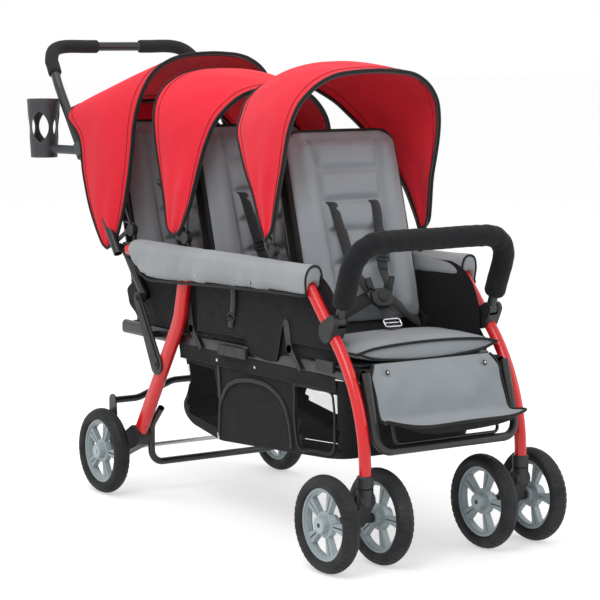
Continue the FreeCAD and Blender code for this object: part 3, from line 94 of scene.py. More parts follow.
def node_tree(material):
    """The nodes and links of a material or world."""
    material.use_nodes = True
    return material.node_tree.nodes, material.node_tree.links


def seen_directly(nodes, links):
    """One for camera, mirror and glass rays, and nothing for the light that falls on things."""
    path = nodes.new("ShaderNodeLightPath")
    total = None
    for name in ("Is Camera Ray", "Is Glossy Ray", "Is Transmission Ray"):
        if total is None:
            total = path.outputs[name]
            continue
        add = nodes.new("ShaderNodeMath")
        add.operation = "MAXIMUM"
        links.new(total, add.inputs[0])
        links.new(path.outputs[name], add.inputs[1])
        total = add.outputs[0]
    return total


def make_world():
    world = bpy.data.worlds.new("studio")
    scene.world = world
    nodes, links = node_tree(world)
    background = nodes["Background"]
    background.inputs["Color"].default_value = (1, 1, 1, 1)
    strength = nodes.new("ShaderNodeMapRange")
    links.new(seen_directly(nodes, links), strength.inputs["Value"])
    strength.inputs["To Min"].default_value = WORLD_LIGHT
    links.new(strength.outputs["Result"], background.inputs["Strength"])


def make_floor():
    mesh = bpy.data.meshes.new("floor")
    corners = [(x * FLOOR_REACH, y * FLOOR_REACH, 0) for x, y in ((-1, -1), (1, -1), (1, 1), (-1, 1))]
    mesh.from_pydata(corners, [], [(0, 1, 2, 3)])
    floor = bpy.data.objects.new("floor", mesh)
    scene.collection.objects.link(floor)
    floor.location.z = -FLOOR_DROP
    material = bpy.data.materials.new("floor")
    nodes, links = node_tree(material)
    shader = nodes["Principled BSDF"]
    shader.inputs["Base Color"].default_value = FLOOR_GREY
    shader.inputs["Roughness"].default_value = 1
    shader.inputs["Specular IOR Level"].default_value = 0
    shader.inputs["Emission Color"].default_value = (1, 1, 1, 1)
    glow = nodes.new("ShaderNodeMath")
    glow.operation = "MULTIPLY"
    glow.inputs[1].default_value = FLOOR_GLOW
    links.new(seen_directly(nodes, links), glow.inputs[0])
    links.new(glow.outputs[0], shader.inputs["Emission Strength"])
    mesh.materials.append(material)


def soft_light(name, location, size, power):
    data = bpy.data.lights.new(name, "AREA")
    data.shape = "DISK"
    data.size = size
    data.energy = power
    lamp = bpy.data.objects.new(name, data)
    scene.collection.objects.link(lamp)
    lamp.location = location
    lamp.rotation_euler = (Vector(LIGHT_AIM) - Vector(location)).to_track_quat("-Z", "Y").to_euler()


make_world()
make_floor()
for lamp in LAMPS:
    soft_light(*lamp)


# Materials
def srgb(red, green, blue):
    """A colour as the photograph shows it, turned into the linear one that a shader takes."""
    def linear(value):
        value = value / 255
        return value / 12.92 if value <= 0.04045 else ((value + 0.055) / 1.055) ** 2.4

    return (linear(red), linear(green), linear(blue), 1)


def toned(colour, factor, lift=0.0):
    """The same colour darker or lighter, with a little white added."""
    return tuple(min(1, value * factor + lift) for value in colour[:3]) + (1,)


class Shading:
    """A material under construction: its nodes, and the sums that patterns are made of."""

    def __init__(self, name, roughness, metallic=0.0):
        self.material = bpy.data.materials.new(name)
        self.nodes, self.links = node_tree(self.material)
        self.shader = self.nodes["Principled BSDF"]
        self.shader.inputs["Metallic"].default_value = metallic
        self.roughness = roughness
        self.coordinates = self.nodes.new("ShaderNodeTexCoord")

    def math(self, operation, *values):
        node = self.nodes.new("ShaderNodeMath")
        node.operation = operation
        for socket, value in zip(node.inputs, values):
            if isinstance(value, (int, float)):
                socket.default_value = value
            else:
                self.links.new(value, socket)
        return node.outputs[0]

    def axes(self, socket):
        node = self.nodes.new("ShaderNodeSeparateXYZ")
        self.links.new(socket, node.inputs[0])
        return node.outputs[0], node.outputs[1], node.outputs[2]

    def noise(self, scale, detail, stretch=None):
        node = self.nodes.new("ShaderNodeTexNoise")
        node.inputs["Scale"].default_value = scale
        node.inputs["Detail"].default_value = detail
        source = self.coordinates.outputs["Object"]
        if stretch:
            mapping = self.nodes.new("ShaderNodeMapping")
            mapping.inputs["Scale"].default_value = stretch
            self.links.new(source, mapping.inputs["Vector"])
            source = mapping.outputs[0]
        self.links.new(source, node.inputs["Vector"])
        return node.outputs["Fac"]

    def ramp(self, value, low, high, first, last):
        node = self.nodes.new("ShaderNodeMapRange")
        self.links.new(value, node.inputs["Value"])
        node.inputs["From Min"].default_value = low
        node.inputs["From Max"].default_value = high
        node.inputs["To Min"].default_value = first
        node.inputs["To Max"].default_value = last
        return node.outputs["Result"]

    def blend(self, share, first, second):
        node = self.nodes.new("ShaderNodeMix")
        node.data_type = "RGBA"
        for name, value in (("A", first), ("B", second)):
            sockets = [i for i in node.inputs if i.name == name and i.type == "RGBA"]
            if isinstance(value, tuple):
                sockets[0].default_value = value
            else:
                self.links.new(value, sockets[0])
        self.links.new(share, node.inputs[0])
        return [o for o in node.outputs if o.type == "RGBA"][0]

    def bump(self, height, strength, depth, under=None):
        node = self.nodes.new("ShaderNodeBump")
        node.inputs["Strength"].default_value = strength
        node.inputs["Distance"].default_value = depth
        self.links.new(height, node.inputs["Height"])
        if under:
            self.links.new(under, node.inputs["Normal"])
        return node.outputs[0]

    def worn(self, colour, amount, tint):
        """Sharp outer edges turn a little lighter."""
        geometry = self.nodes.new("ShaderNodeNewGeometry")
        share = self.ramp(geometry.outputs["Pointiness"], 0.52, 0.62, 0, amount)
        return self.blend(share, colour, toned(colour, tint, 0.02))

    def finish(self, colour, roughness_map=None, normal=None):
        if isinstance(colour, tuple):
            self.shader.inputs["Base Color"].default_value = colour
        else:
            self.links.new(colour, self.shader.inputs["Base Color"])
        if roughness_map:
            self.links.new(roughness_map, self.shader.inputs["Roughness"])
        else:
            self.shader.inputs["Roughness"].default_value = self.roughness
        if normal:
            self.links.new(normal, self.shader.inputs["Normal"])
        return self.material


def woven(shading, pitch):
    """The height of a plain weave on whichever plane the surface faces, from 0 to 1."""
    waves = []
    for axis in shading.axes(shading.coordinates.outputs["Object"]):
        waves.append(shading.math("SINE", shading.math("MULTIPLY", axis, 2 * math.pi / pitch)))
    facing = [
        shading.math("ABSOLUTE", axis) for axis in shading.axes(shading.coordinates.outputs["Normal"])
    ]
    total = None
    for across, first, second in ((0, 1, 2), (1, 0, 2), (2, 0, 1)):
        threads = shading.math("MULTIPLY", waves[first], waves[second])
        share = shading.math("MULTIPLY", threads, facing[across])
        total = share if total is None else shading.math("ADD", total, share)
    return shading.math("MULTIPLY_ADD", total, 0.5, 0.5)


def fabric(name, colour, pitch=0.0011, roughness=0.86, sheen=0.25, crease=0.35, dark=0.86):
    """Woven polyester: threads lighter on their crowns as a painted highlight, soft creases, cloudy darker
    patches as painted shade of wrinkles, and a faint sheen.
    """
    shading = Shading(name, roughness)
    weave = woven(shading, pitch)
    # Cloudy darker patches from a large noise: painted shade standing in for the shading of wrinkles
    wrinkle_shade = shading.noise(9, 4)
    base = shading.blend(shading.ramp(wrinkle_shade, 0.3, 0.7, 0, 1), toned(colour, dark), colour)
    # The weave's raised threads turn lighter: a painted highlight on their crowns
    base = shading.blend(shading.ramp(weave, 0.35, 1.0, 0, 0.35), base, toned(colour, 1.12, 0.004))
    creases = shading.bump(shading.noise(17, 3, (1, 1, 0.9)), crease, 0.006)
    normal = shading.bump(weave, 0.35, 0.0004, creases)
    shading.shader.inputs["Sheen Weight"].default_value = sheen
    shading.shader.inputs["Sheen Roughness"].default_value = 0.5
    shading.shader.inputs["Specular IOR Level"].default_value = 0.3
    rough = shading.ramp(shading.noise(60, 2), 0.2, 0.8, roughness - 0.06, min(1, roughness + 0.06))
    return shading.finish(base, rough, normal)


def webbing(name, colour):
    """A woven strap, ribbed across, with a painted highlight on the crowns of its ribs."""
    shading = Shading(name, 0.7)
    weave = woven(shading, 0.0017)
    # The raised ribs turn much lighter: a painted highlight on their crowns
    base = shading.blend(shading.ramp(weave, 0.3, 1, 0, 0.6), colour, toned(colour, 1.9, 0.006))
    shading.shader.inputs["Sheen Weight"].default_value = 0.2
    return shading.finish(base, None, shading.bump(weave, 0.6, 0.0006))


def painted(name, colour, roughness, coat, dust=0.35):
    """Sprayed tube: a faint orange peel under a clear coat, dusty and a little worn at its edges."""
    shading = Shading(name, roughness)
    base = shading.worn(colour, 0.15, 1.3)
    dusty = toned(colour, 0.9, 0.02)
    base = shading.blend(shading.ramp(shading.noise(14, 5), 0.45, 0.8, 0, dust), base, dusty)
    peel = shading.bump(shading.noise(420, 2), 0.12, 0.0006)
    shading.shader.inputs["Coat Weight"].default_value = coat
    shading.shader.inputs["Coat Roughness"].default_value = 0.12
    rough = shading.ramp(shading.noise(30, 4), 0.3, 0.7, roughness * 0.85, roughness * 1.2)
    return shading.finish(base, rough, peel)


def moulded(name, colour, roughness=0.5, grain=0.3):
    """Injection-moulded plastic with a fine texture and scuffed edges."""
    shading = Shading(name, roughness)
    base = shading.worn(colour, 0.4, 1.8)
    texture = shading.bump(shading.noise(900, 2), grain, 0.0004)
    rough = shading.ramp(shading.noise(45, 4), 0.3, 0.7, roughness * 0.8, min(1, roughness * 1.25))
    return shading.finish(base, rough, texture)


def rubber(name, colour):
    """Matt black rubber with road dust and a fine grain."""
    shading = Shading(name, 0.72)
    dusty = toned(colour, 1.5, 0.006)
    base = shading.blend(shading.ramp(shading.noise(38, 6), 0.45, 0.75, 0, 0.6), colour, dusty)
    texture = shading.bump(shading.noise(700, 3), 0.3, 0.0005)
    return shading.finish(base, shading.ramp(shading.noise(22, 4), 0.3, 0.7, 0.6, 0.85), texture)


def foam(name, colour):
    """Closed-cell foam with open pores on its skin, the pores painted darker as painted shade in their
    hollows.
    """
    shading = Shading(name, 0.9)
    cells = shading.nodes.new("ShaderNodeTexVoronoi")
    cells.inputs["Scale"].default_value = 700
    shading.links.new(shading.coordinates.outputs["Object"], cells.inputs["Vector"])
    pores = cells.outputs["Distance"]
    # The pore hollows stay dark and the skin between them turns lighter: painted shade in the recesses
    base = shading.blend(shading.ramp(pores, 0.1, 0.6, 0, 0.5), colour, toned(colour, 1.5, 0.005))
    return shading.finish(base, None, shading.bump(pores, 0.4, 0.0006))


def steel(name, colour, roughness):
    """Brushed metal, lighter at its edges."""
    shading = Shading(name, roughness, 1.0)
    brushed = shading.noise(160, 3, (1, 1, 12))
    rough = shading.ramp(brushed, 0.3, 0.7, roughness * 0.7, roughness * 1.4)
    return shading.finish(shading.worn(colour, 0.2, 1.2), rough, shading.bump(brushed, 0.08, 0.0004))


def netting(name, colour, pitch, hole):
    """Knitted mesh: a diagonal lattice of round holes that light passes through."""
    shading = Shading(name, 0.8)
    _, along, up = shading.axes(shading.coordinates.outputs["Object"])
    waves = []
    for operation in ("ADD", "SUBTRACT"):
        diagonal = shading.math(operation, along, up)
        waves.append(shading.math("SINE", shading.math("MULTIPLY", diagonal, 2 * math.pi / pitch)))
    height = shading.math("MULTIPLY", *waves)
    open_share = shading.ramp(shading.math("ABSOLUTE", height), hole, hole + 0.08, 0, 1)
    shading.finish(colour, None, shading.bump(height, 0.5, 0.0006))
    clear = shading.nodes.new("ShaderNodeBsdfTransparent")
    mix = shading.nodes.new("ShaderNodeMixShader")
    shading.links.new(open_share, mix.inputs[0])
    shading.links.new(shading.shader.outputs[0], mix.inputs[1])
    shading.links.new(clear.outputs[0], mix.inputs[2])
    shading.links.new(mix.outputs[0], shading.nodes["Material Output"].inputs["Surface"])
    return shading.material


MATERIALS = {
    "grey_fabric": fabric("grey_fabric", srgb(156, 162, 167)),
    "pad_fabric": fabric("pad_fabric", srgb(166, 171, 174), crease=0.5),
    "black_fabric": fabric("black_fabric", srgb(21, 22, 25), sheen=0.05, crease=0.4, dark=0.8),
    "red_fabric": fabric("red_fabric", srgb(244, 38, 58), sheen=0.1, crease=0.3, dark=0.93),
    "piping": fabric("piping", srgb(15, 16, 17), 0.0009, 0.7, 0.1, 0.15),
    "webbing": webbing("webbing", srgb(17, 18, 20)),
    "thread": fabric("thread", srgb(150, 22, 36), 0.0006, 0.8, 0.1, 0.1),
    "black_thread": fabric("black_thread", srgb(20, 21, 22), 0.0006, 0.8, 0.1, 0.1),
    "netting": netting("netting", srgb(26, 27, 29), 0.0046, 0.06),
    "red_frame": painted("red_frame", srgb(226, 12, 20), 0.3, 0.35, 0.04),
    "black_frame": painted("black_frame", srgb(19, 20, 22), 0.38, 0.2),
    "black_plastic": moulded("black_plastic", srgb(27, 28, 30)),
    "cup_plastic": moulded("cup_plastic", srgb(52, 55, 58), 0.42, 0.15),
    "rim": moulded("rim", srgb(166, 178, 182), 0.38, 0.15),
    "tyre": rubber("tyre", srgb(22, 23, 25)),
    "foam": foam("foam", srgb(21, 22, 23)),
    "axle_steel": steel("axle_steel", srgb(176, 178, 180), 0.3),
    "silver": steel("silver", srgb(205, 207, 210), 0.22),
}

NODE_MATERIALS = (
    ("front_rim", "rim"), ("rear_rim", "rim"), ("front_tyre", "tyre"), ("rear_tyre", "tyre"),
    ("frame_tube", "red_frame"), ("rear_leg", "red_frame"), ("cup_holder", "cup_plastic"),
    ("side_plates", "black_plastic"), ("hub_brackets", "black_plastic"),
    ("caster_fork", "black_plastic"), ("caster_sockets", "black_plastic"),
    ("bumper_clamps", "black_plastic"), ("canopy_posts", "black_plastic"),
    ("rail_fittings", "black_plastic"), ("rear_axle", "axle_steel"),
    ("seat_boards", "black_plastic"), ("back_board", "black_plastic"),
)


def node_material(name):
    for start, material in NODE_MATERIALS:
        if name.startswith(start):
            return MATERIALS[material]
    return MATERIALS["black_frame"]


for name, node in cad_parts.items():
    node.data.materials.clear()
    node.data.materials.append(node_material(name))


# Mesh helpers
def new_piece(name, vertices, faces, material, smooth=True):
    mesh = bpy.data.meshes.new(name)
    mesh.from_pydata([tuple(v) for v in vertices], [], [tuple(f) for f in faces])
    mesh.materials.append(MATERIALS[material])
    mesh.update()
    for polygon in mesh.polygons:
        polygon.use_smooth = smooth
    piece = bpy.data.objects.new(name, mesh)
    scene.collection.objects.link(piece)
    return piece


def skin(name, rows, material, closed=False, capped=False):
    """A surface through rows of points: closed joins each row's ends, capped fills the outer rows."""
    count = len(rows[0])
    vertices = [point for row in rows for point in row]
    faces = []
    across = count if closed else count - 1
    for r in range(len(rows) - 1):
        for c in range(across):
            d = (c + 1) % count
            faces.append((r * count + c, r * count + d, (r + 1) * count + d, (r + 1) * count + c))
    if capped:
        faces.append(tuple(reversed(range(count))))
        faces.append(tuple(range((len(rows) - 1) * count, len(rows) * count)))
    piece = new_piece(name, vertices, faces, material)
    facing_out(piece)
    return piece


def facing_out(piece):
    mesh = bmesh.new()
    mesh.from_mesh(piece.data)
    bmesh.ops.recalc_face_normals(mesh, faces=mesh.faces)
    mesh.to_mesh(piece.data)
    mesh.free()


def curve_through(points, count, closed=False):
    """Points at even distances along a smooth line through the given ones."""
    given = np.array([tuple(p) for p in points], float)
    if closed:
        padded = np.vstack([given[-1], given, given[0], given[1]])
    else:
        padded = np.vstack([2 * given[0] - given[1], given, 2 * given[-1] - given[-2]])
    fine = []
    steps = np.linspace(0, 1, 24, endpoint=False)[:, None]
    for a, b, c, d in zip(padded, padded[1:], padded[2:], padded[3:]):
        fine.append(0.5 * (
            2 * b + (c - a) * steps + (2 * a - 5 * b + 4 * c - d) * steps ** 2
            + (3 * b - a - 3 * c + d) * steps ** 3
        ))
    fine = np.vstack(fine + [given[:1] if closed else given[-1:]])
    along = np.concatenate([[0], np.cumsum(np.linalg.norm(np.diff(fine, axis=0), axis=1))])
    wanted = np.linspace(0, along[-1], count + 1 if closed else count)
    even = np.stack([np.interp(wanted, along, fine[:, k]) for k in range(3)], axis=1)
    return even[:-1] if closed else even


def line_of(places, count, closed=False):
    """A smooth line through places given in millimetres."""
    return curve_through([place(*p) for p in places], count, closed)


def sweep(name, points, section, material, up, closed=False, ends=None):
    """A section of (sideways, upwards) points carried along a line; ends scales it at both ends."""
    line = np.array([tuple(p) for p in points], float)
    ups = np.array([tuple(up)] * len(line) if np.ndim(up) == 1 else [tuple(u) for u in up], float)
    if closed:
        ahead = np.roll(line, -1, 0) - np.roll(line, 1, 0)
    else:
        ahead = np.gradient(line, axis=0)
    ahead /= np.linalg.norm(ahead, axis=1)[:, None]
    side = np.cross(ahead, ups)
    side /= np.maximum(np.linalg.norm(side, axis=1)[:, None], 1e-9)
    normal = np.cross(side, ahead)
    rows = []
    for k in range(len(line)):
        share = 1.0
        if ends:
            near = min(k, len(line) - 1 - k)
            share = ends[near] if near < len(ends) else 1.0
        rows.append([line[k] + share * (a * side[k] + b * normal[k]) for a, b in section])
    if closed:
        rows.append(rows[0])
    return skin(name, rows, material, closed=True, capped=not closed)


def ring(radius, count):
    """A round section."""
    turn = 2 * math.pi / count
    return [(radius * math.cos(k * turn), radius * math.sin(k * turn)) for k in range(count)]


def band(width, thickness):
    """A flat strap's section with softened edges."""
    w = width / 2
    t = thickness / 2
    edge = w * 0.92
    return [(-w, 0), (-edge, t), (0, t * 1.15), (edge, t), (w, 0), (edge, -t), (0, -t), (-edge, -t)]


def transport(points):
    """Up directions for a line that bends in space, turned as little as the line allows."""
    line = np.array([tuple(p) for p in points], float)
    ahead = np.gradient(line, axis=0)
    ahead /= np.linalg.norm(ahead, axis=1)[:, None]
    first = np.cross(ahead[0], (0.31, 0.21, 0.93))
    ups = [first / np.linalg.norm(first)]
    for way in ahead[1:]:
        up = ups[-1] - way * np.dot(ups[-1], way)
        ups.append(up / np.linalg.norm(up))
    return ups


def cordlet(name, points, radius, material, count=8):
    """A thin round line, for piping, binding and seams."""
    return sweep(name, points, ring(radius, count), material, up=transport(points))


def joined(name, pieces):
    """Several meshes as one piece, with the materials of all."""
    mesh = bmesh.new()
    materials = []
    for piece in pieces:
        start = len(mesh.faces)
        piece.data.transform(piece.matrix_world)
        mesh.from_mesh(piece.data)
        mesh.faces.ensure_lookup_table()
        slots = []
        for material in piece.data.materials:
            if material not in materials:
                materials.append(material)
            slots.append(materials.index(material))
        for face in mesh.faces[start:]:
            face.material_index = slots[min(face.material_index, len(slots) - 1)]
    whole = bpy.data.meshes.new(name)
    mesh.to_mesh(whole)
    mesh.free()
    for material in materials:
        whole.materials.append(material)
    discard(*pieces)
    made = bpy.data.objects.new(name, whole)
    scene.collection.objects.link(made)
    return made


def copied(piece, name, shift=(0, 0, 0), mirror=False):
    """A copy of a piece, moved by millimetres or mirrored across the middle."""
    mesh = piece.data.copy()
    mesh.name = name
    if mirror:
        mesh.transform(Matrix.Scale(-1, 4, Vector((1, 0, 0))))
        mesh.flip_normals()
    mesh.transform(Matrix.Translation(Vector(shift) * MM))
    twin = bpy.data.objects.new(name, mesh)
    scene.collection.objects.link(twin)
    return twin


def discard(*pieces):
    """Takes forms that were only copied from out of the scene."""
    for piece in pieces:
        bpy.data.objects.remove(piece)


def settle(piece, body, slot, *nodes):
    """Lets a piece ride on a body, and hides the nodes it stands for; slot, the finish it takes, is not used.
    """
    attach(piece, body)
    if nodes:
        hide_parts(*nodes)


def both_sides(form, stem, body, slot, node=None):
    """The form as the right piece and its mirror image as the left one; the right one takes the node."""
    made = []
    for side, sign in SIDES:
        piece = copied(form, f"{stem}_{side}", mirror=sign > 0)
        settle(piece, body, slot, *([node] if node and sign < 0 else []))
        made.append(piece)
    discard(form)
    return made


def points_of(piece):
    flat = np.zeros(len(piece.data.vertices) * 3)
    piece.data.vertices.foreach_get("co", flat)
    return flat.reshape(-1, 3)


def set_points(piece, points):
    piece.data.vertices.foreach_set("co", np.asarray(points, float).ravel())
    piece.data.update()


def dome(name, centre, facing, radius, height, material):
    """A low round head, such as a snap, rivet or button, whose base lies on a surface."""
    steps = 5
    count = 16
    facing = Vector(facing).normalized()
    side = facing.orthogonal().normalized()
    other = facing.cross(side)
    rows = []
    for k in range(steps + 1):
        angle = math.pi / 2 * k / steps
        reach = max(radius * math.cos(angle), radius * 0.02)
        rise = height * math.sin(angle)
        rows.append([
            Vector(centre) + facing * rise + side * reach * math.cos(t) + other * reach * math.sin(t)
            for t in (2 * math.pi * c / count for c in range(count))
        ])
    return skin(name, rows, material, closed=True, capped=True)


def slab(name, outline, facing, thickness, material, bevel):
    """A flat plate from an outline of points, thickened along the facing direction."""
    facing = Vector(facing).normalized() * thickness
    count = len(outline)
    vertices = [Vector(p) for p in outline] + [Vector(p) + facing for p in outline]
    faces = [tuple(range(count)), tuple(reversed(range(count, 2 * count)))]
    for k in range(count):
        n = (k + 1) % count
        faces.append((k, n, n + count, k + count))
    piece = new_piece(name, vertices, faces, material, smooth=False)
    facing_out(piece)
    modifier = piece.modifiers.new("bevel", "BEVEL")
    modifier.width = bevel
    modifier.segments = 2
    return apply_modifiers(piece)


def apply_modifiers(piece):
    graph = bpy.context.evaluated_depsgraph_get()
    graph.update()
    mesh = bpy.data.meshes.new_from_object(piece.evaluated_get(graph), depsgraph=graph)
    mesh.name = piece.name
    piece.modifiers.clear()
    piece.data = mesh
    return piece


def remeshed(piece, voxel):
    modifier = piece.modifiers.new("voxels", "REMESH")
    modifier.mode = "VOXEL"
    modifier.voxel_size = voxel
    modifier.use_smooth_shade = True
    return apply_modifiers(piece)


CLOTH_FRAMES = 20
CLOTH_PRESSURE = 4.0
CLOTH_STIFFNESS = 12


def inflated(piece, cap, voxel=0.0055):
    """Fills a closed form under cloth, with no gravity, and lets each point move out by cap at most."""
    remeshed(piece, voxel)
    start = points_of(piece)
    outward = np.array([tuple(v.normal) for v in piece.data.vertices])
    cloth = piece.modifiers.new("cloth", "CLOTH")
    cloth.settings.quality = 5
    cloth.settings.mass = 0.3
    cloth.settings.tension_stiffness = CLOTH_STIFFNESS
    cloth.settings.compression_stiffness = CLOTH_STIFFNESS
    cloth.settings.bending_stiffness = 0.4
    cloth.settings.use_pressure = True
    cloth.settings.uniform_pressure_force = CLOTH_PRESSURE
    cloth.settings.effector_weights.gravity = 0
    cloth.collision_settings.use_collision = False
    cloth.collision_settings.use_self_collision = False
    cloth.point_cache.frame_start = 1
    cloth.point_cache.frame_end = CLOTH_FRAMES
    for number in range(1, CLOTH_FRAMES + 1):
        scene.frame_set(number)
    apply_modifiers(piece)
    scene.frame_set(1)
    moved = points_of(piece) - start
    length = np.linalg.norm(moved, axis=1)
    share = np.minimum(1, cap / np.maximum(length, 1e-9))
    share *= (moved * outward).sum(axis=1) > 0
    set_points(piece, start + moved * share[:, None])
    return piece


def eased(share):
    """A share from 0 to 1 with a soft start and end."""
    share = min(1, max(0, share))
    return share * share * (3 - 2 * share)


def subdivided(piece):
    modifier = piece.modifiers.new("finer", "SUBSURF")
    modifier.levels = 1
    modifier.render_levels = 1
    apply_modifiers(piece)
    for polygon in piece.data.polygons:
        polygon.use_smooth = True
    return piece


def ripple(points, scale, seed):
    """Smooth unevenness between -1 and 1 made of a few crossing waves, the same on each run."""
    random = np.random.default_rng(seed)
    total = np.zeros(len(points))
    for octave in range(5):
        way = random.normal(size=3)
        way /= np.linalg.norm(way)
        turns = scale * (1 + 0.7 * octave)
        total += np.sin(points @ way * turns + random.uniform(0, 6.28)) / (1 + octave * 0.6)
    return total / 2.6


def groove(points, line, across, reach):
    """How deep each point lies in a sewn channel along a line, from 0 to 1; across picks the two axes."""
    flat = points[:, across]
    depth = np.zeros(len(points))
    for a, b in zip(line, line[1:]):
        a = np.array(a, float)
        b = np.array(b, float)
        run = b - a
        share = np.clip(((flat - a) @ run) / (run @ run), 0, 1)
        distance = np.linalg.norm(flat - (a + share[:, None] * run), axis=1)
        depth = np.maximum(depth, np.exp(-(distance / reach) ** 2))
    return depth


# Tyres with a moulded tread
TREAD_BLOCKS = 44
TREAD_STEPS = 5
TREAD_CENTRE_GROOVE = 1.2
WHEEL_RADIUS = 100
CASTER_X = 200
TWIN_WHEEL_OFFSET = 65.7
REAR_WHEEL_X = 246
REAR_AXLE_Y = 946
# Half of the tyre's outline as (across, radius), and how deep the tread is cut at each point
TYRE_HALF = (
    (10, 73.6, 0), (15.5, 75, 0), (18.2, 79, 0), (19, 84, 0), (18.4, 89, 0.6), (16.6, 92.6, 1.8),
    (14.2, 94.6, 2.6), (13.2, 95.4, 2.8), (9.6, 97.4, 2.4), (5, 99.2, 0), (1.6, 99.8, 0),
)


def tyre_mesh(name):
    """One tyre about its own axle at the origin: round shoulders, with blocks cut into the tread."""
    profile = [(-x, radius, cut) for x, radius, cut in TYRE_HALF]
    profile += [(0, 99.4 - TREAD_CENTRE_GROOVE, 0)] + list(reversed(TYRE_HALF))
    steps = TREAD_BLOCKS * TREAD_STEPS
    rows = []
    for k in range(steps):
        angle = 2 * math.pi * k / steps
        row = []
        for x, radius, depth in profile:
            half = TREAD_STEPS // 2 if x > 0 else 0
            reach = radius - (depth if (k + half) % TREAD_STEPS == 0 else 0)
            row.append((x * MM, reach * MM * math.cos(angle), reach * MM * math.sin(angle)))
        rows.append(row)
    rows.append(rows[0])
    piece = skin(name, rows, "tyre")
    mesh = bmesh.new()
    mesh.from_mesh(piece.data)
    bmesh.ops.remove_doubles(mesh, verts=mesh.verts, dist=1e-6)
    mesh.to_mesh(piece.data)
    mesh.free()
    return piece


tread = tyre_mesh("tread_pattern")
WHEELS = [
    (f"front_tyre_{spot}_{side}", f"wheel_{spot}_{side}", sign * (CASTER_X + way * TWIN_WHEEL_OFFSET), 0)
    for side, sign in SIDES for spot, way in (("inner", -1), ("outer", 1))
]
WHEELS += [
    (f"rear_tyre_{side}", f"rear_wheel_{side}", sign * REAR_WHEEL_X, REAR_AXLE_Y) for side, sign in SIDES
]
for node, body, x, y in WHEELS:
    tyre = copied(tread, "tread_" + node, (x, y - SETBACK, WHEEL_RADIUS))
    settle(tyre, body, "tyre", node)
discard(tread)


# Seat backs
HINGE = (224, 456)
LEAN = 15.8
BACK_LOW = 12
BACK_TOP = 425
BACK_CORNER = 36
BACK_HALF_LOW = 137
BACK_HALF_RISE = 5
BACK_COLUMNS = 22
BACK_LEVELS = (
    BACK_LOW, 16, 24, 40, 70, 110, 150, 190, 230, 270, 310, 345, 372, 392, 406, 415, 421, 424.5,
)
BOLSTER_PUFF = 10
CHANNEL_REACH = 7
CHANNEL_DEPTH = 10.5
TUFT_PUFF = 6.5
BACK_SWELL = 0.006
BACK_PIPING = 0.0034


def back_matrix(number):
    """From a seat back's own X across, Y behind its face and Z along it, to the frame."""
    turn = Matrix.Rotation(math.radians(-LEAN), 4, "X")
    return Matrix.Translation(place(0, HINGE[0] + number * SEAT_PITCH, HINGE[1])) @ turn


def back_half_width(along):
    """Half the width of the seat back at a distance along it, with rounded upper corners."""
    base = BACK_HALF_LOW + BACK_HALF_RISE * min(1, max(0, along - BACK_LOW) / 120)
    rise = along - (BACK_TOP - BACK_CORNER)
    if rise > 0:
        base -= BACK_CORNER * (1 - math.sqrt(max(0, 1 - (rise / BACK_CORNER) ** 2)))
    return base


# Sewn channels of the seat back: two upright ones, and level ones as (half width, height)
UPRIGHT_SEAM = ((91, 408), (81, 340), (78, 272), (76, 210), (72, 120), (70, 30))
LEVEL_SEAMS = ((81, 340), (78, 272), (76, 205), (73, 135))
BACK_SEAMS = [[(side * x, z) for x, z in UPRIGHT_SEAM] for side in (RIGHT, LEFT)]
BACK_SEAMS += [[(-half, z), (half, z)] for half, z in LEVEL_SEAMS]
TUFT_HEIGHTS = (30, 135, 205, 272, 340, 408)


def seat_back_form():
    """The closed form before it is filled: rows across, first over the face, then over the rear."""
    rows = []
    for along in BACK_LEVELS:
        half = back_half_width(along)
        top_share = min(1, (BACK_TOP - along) / 40 + 0.25)
        low_share = min(1, (along - BACK_LOW) / 22 + 0.35)
        full = min(top_share, low_share)
        row = []
        for k in range(BACK_COLUMNS + 1):
            x = -half + 2 * half * k / BACK_COLUMNS
            side = abs(x) / half
            bolster = math.exp(-((abs(x) - 0.78 * half) / 26) ** 2)
            edge = max(0, 1 - side ** 10)
            front = -2 - (2 + BOLSTER_PUFF * bolster) * edge * full + (1 - full) * 8
            row.append((x * MM, front * MM, along * MM))
        for k in range(BACK_COLUMNS + 1):
            x = half - 2 * half * k / BACK_COLUMNS
            side = abs(x) / half
            rear = 33 - 3 * side ** 6 - 10 * (1 - full)
            row.append((x * 0.985 * MM, rear * MM, along * MM))
        rows.append(row)
    return skin("seat_back_form", rows, "grey_fabric", closed=True, capped=True)


def seat_back_piece():
    """The filled seat back with its sewn channels and the tufts between them."""
    piece = seat_back_form()
    inflated(piece, BACK_SWELL)
    points = points_of(piece)
    local = points / MM
    front = np.clip((20 - local[:, 1]) / 20, 0, 1)
    depth = np.zeros(len(points))
    for seam in BACK_SEAMS:
        depth = np.maximum(depth, groove(local, seam, (0, 2), CHANNEL_REACH))
    points[:, 1] += depth * front * CHANNEL_DEPTH * MM
    puff = np.zeros(len(points))
    for low, high in zip(TUFT_HEIGHTS, TUFT_HEIGHTS[1:]):
        share = np.clip((local[:, 2] - low) / (high - low), 0, 1)
        inside = np.clip(1 - (np.abs(local[:, 0]) / 76) ** 6, 0, 1)
        puff = np.maximum(puff, np.sin(share * math.pi) ** 0.7 * inside)
    points[:, 1] -= puff * front * TUFT_PUFF * MM
    points[:, 1] += ripple(points, 46, 3) * front * 1.3 * MM
    set_points(piece, points)
    subdivided(piece)
    paint_back(piece)
    return piece


def paint_back(piece):
    """Grey on the face, black round the sides and behind."""
    piece.data.materials.append(MATERIALS["black_fabric"])
    for polygon in piece.data.polygons:
        centre = polygon.center / MM
        if centre.y > 7:
            polygon.material_index = 1


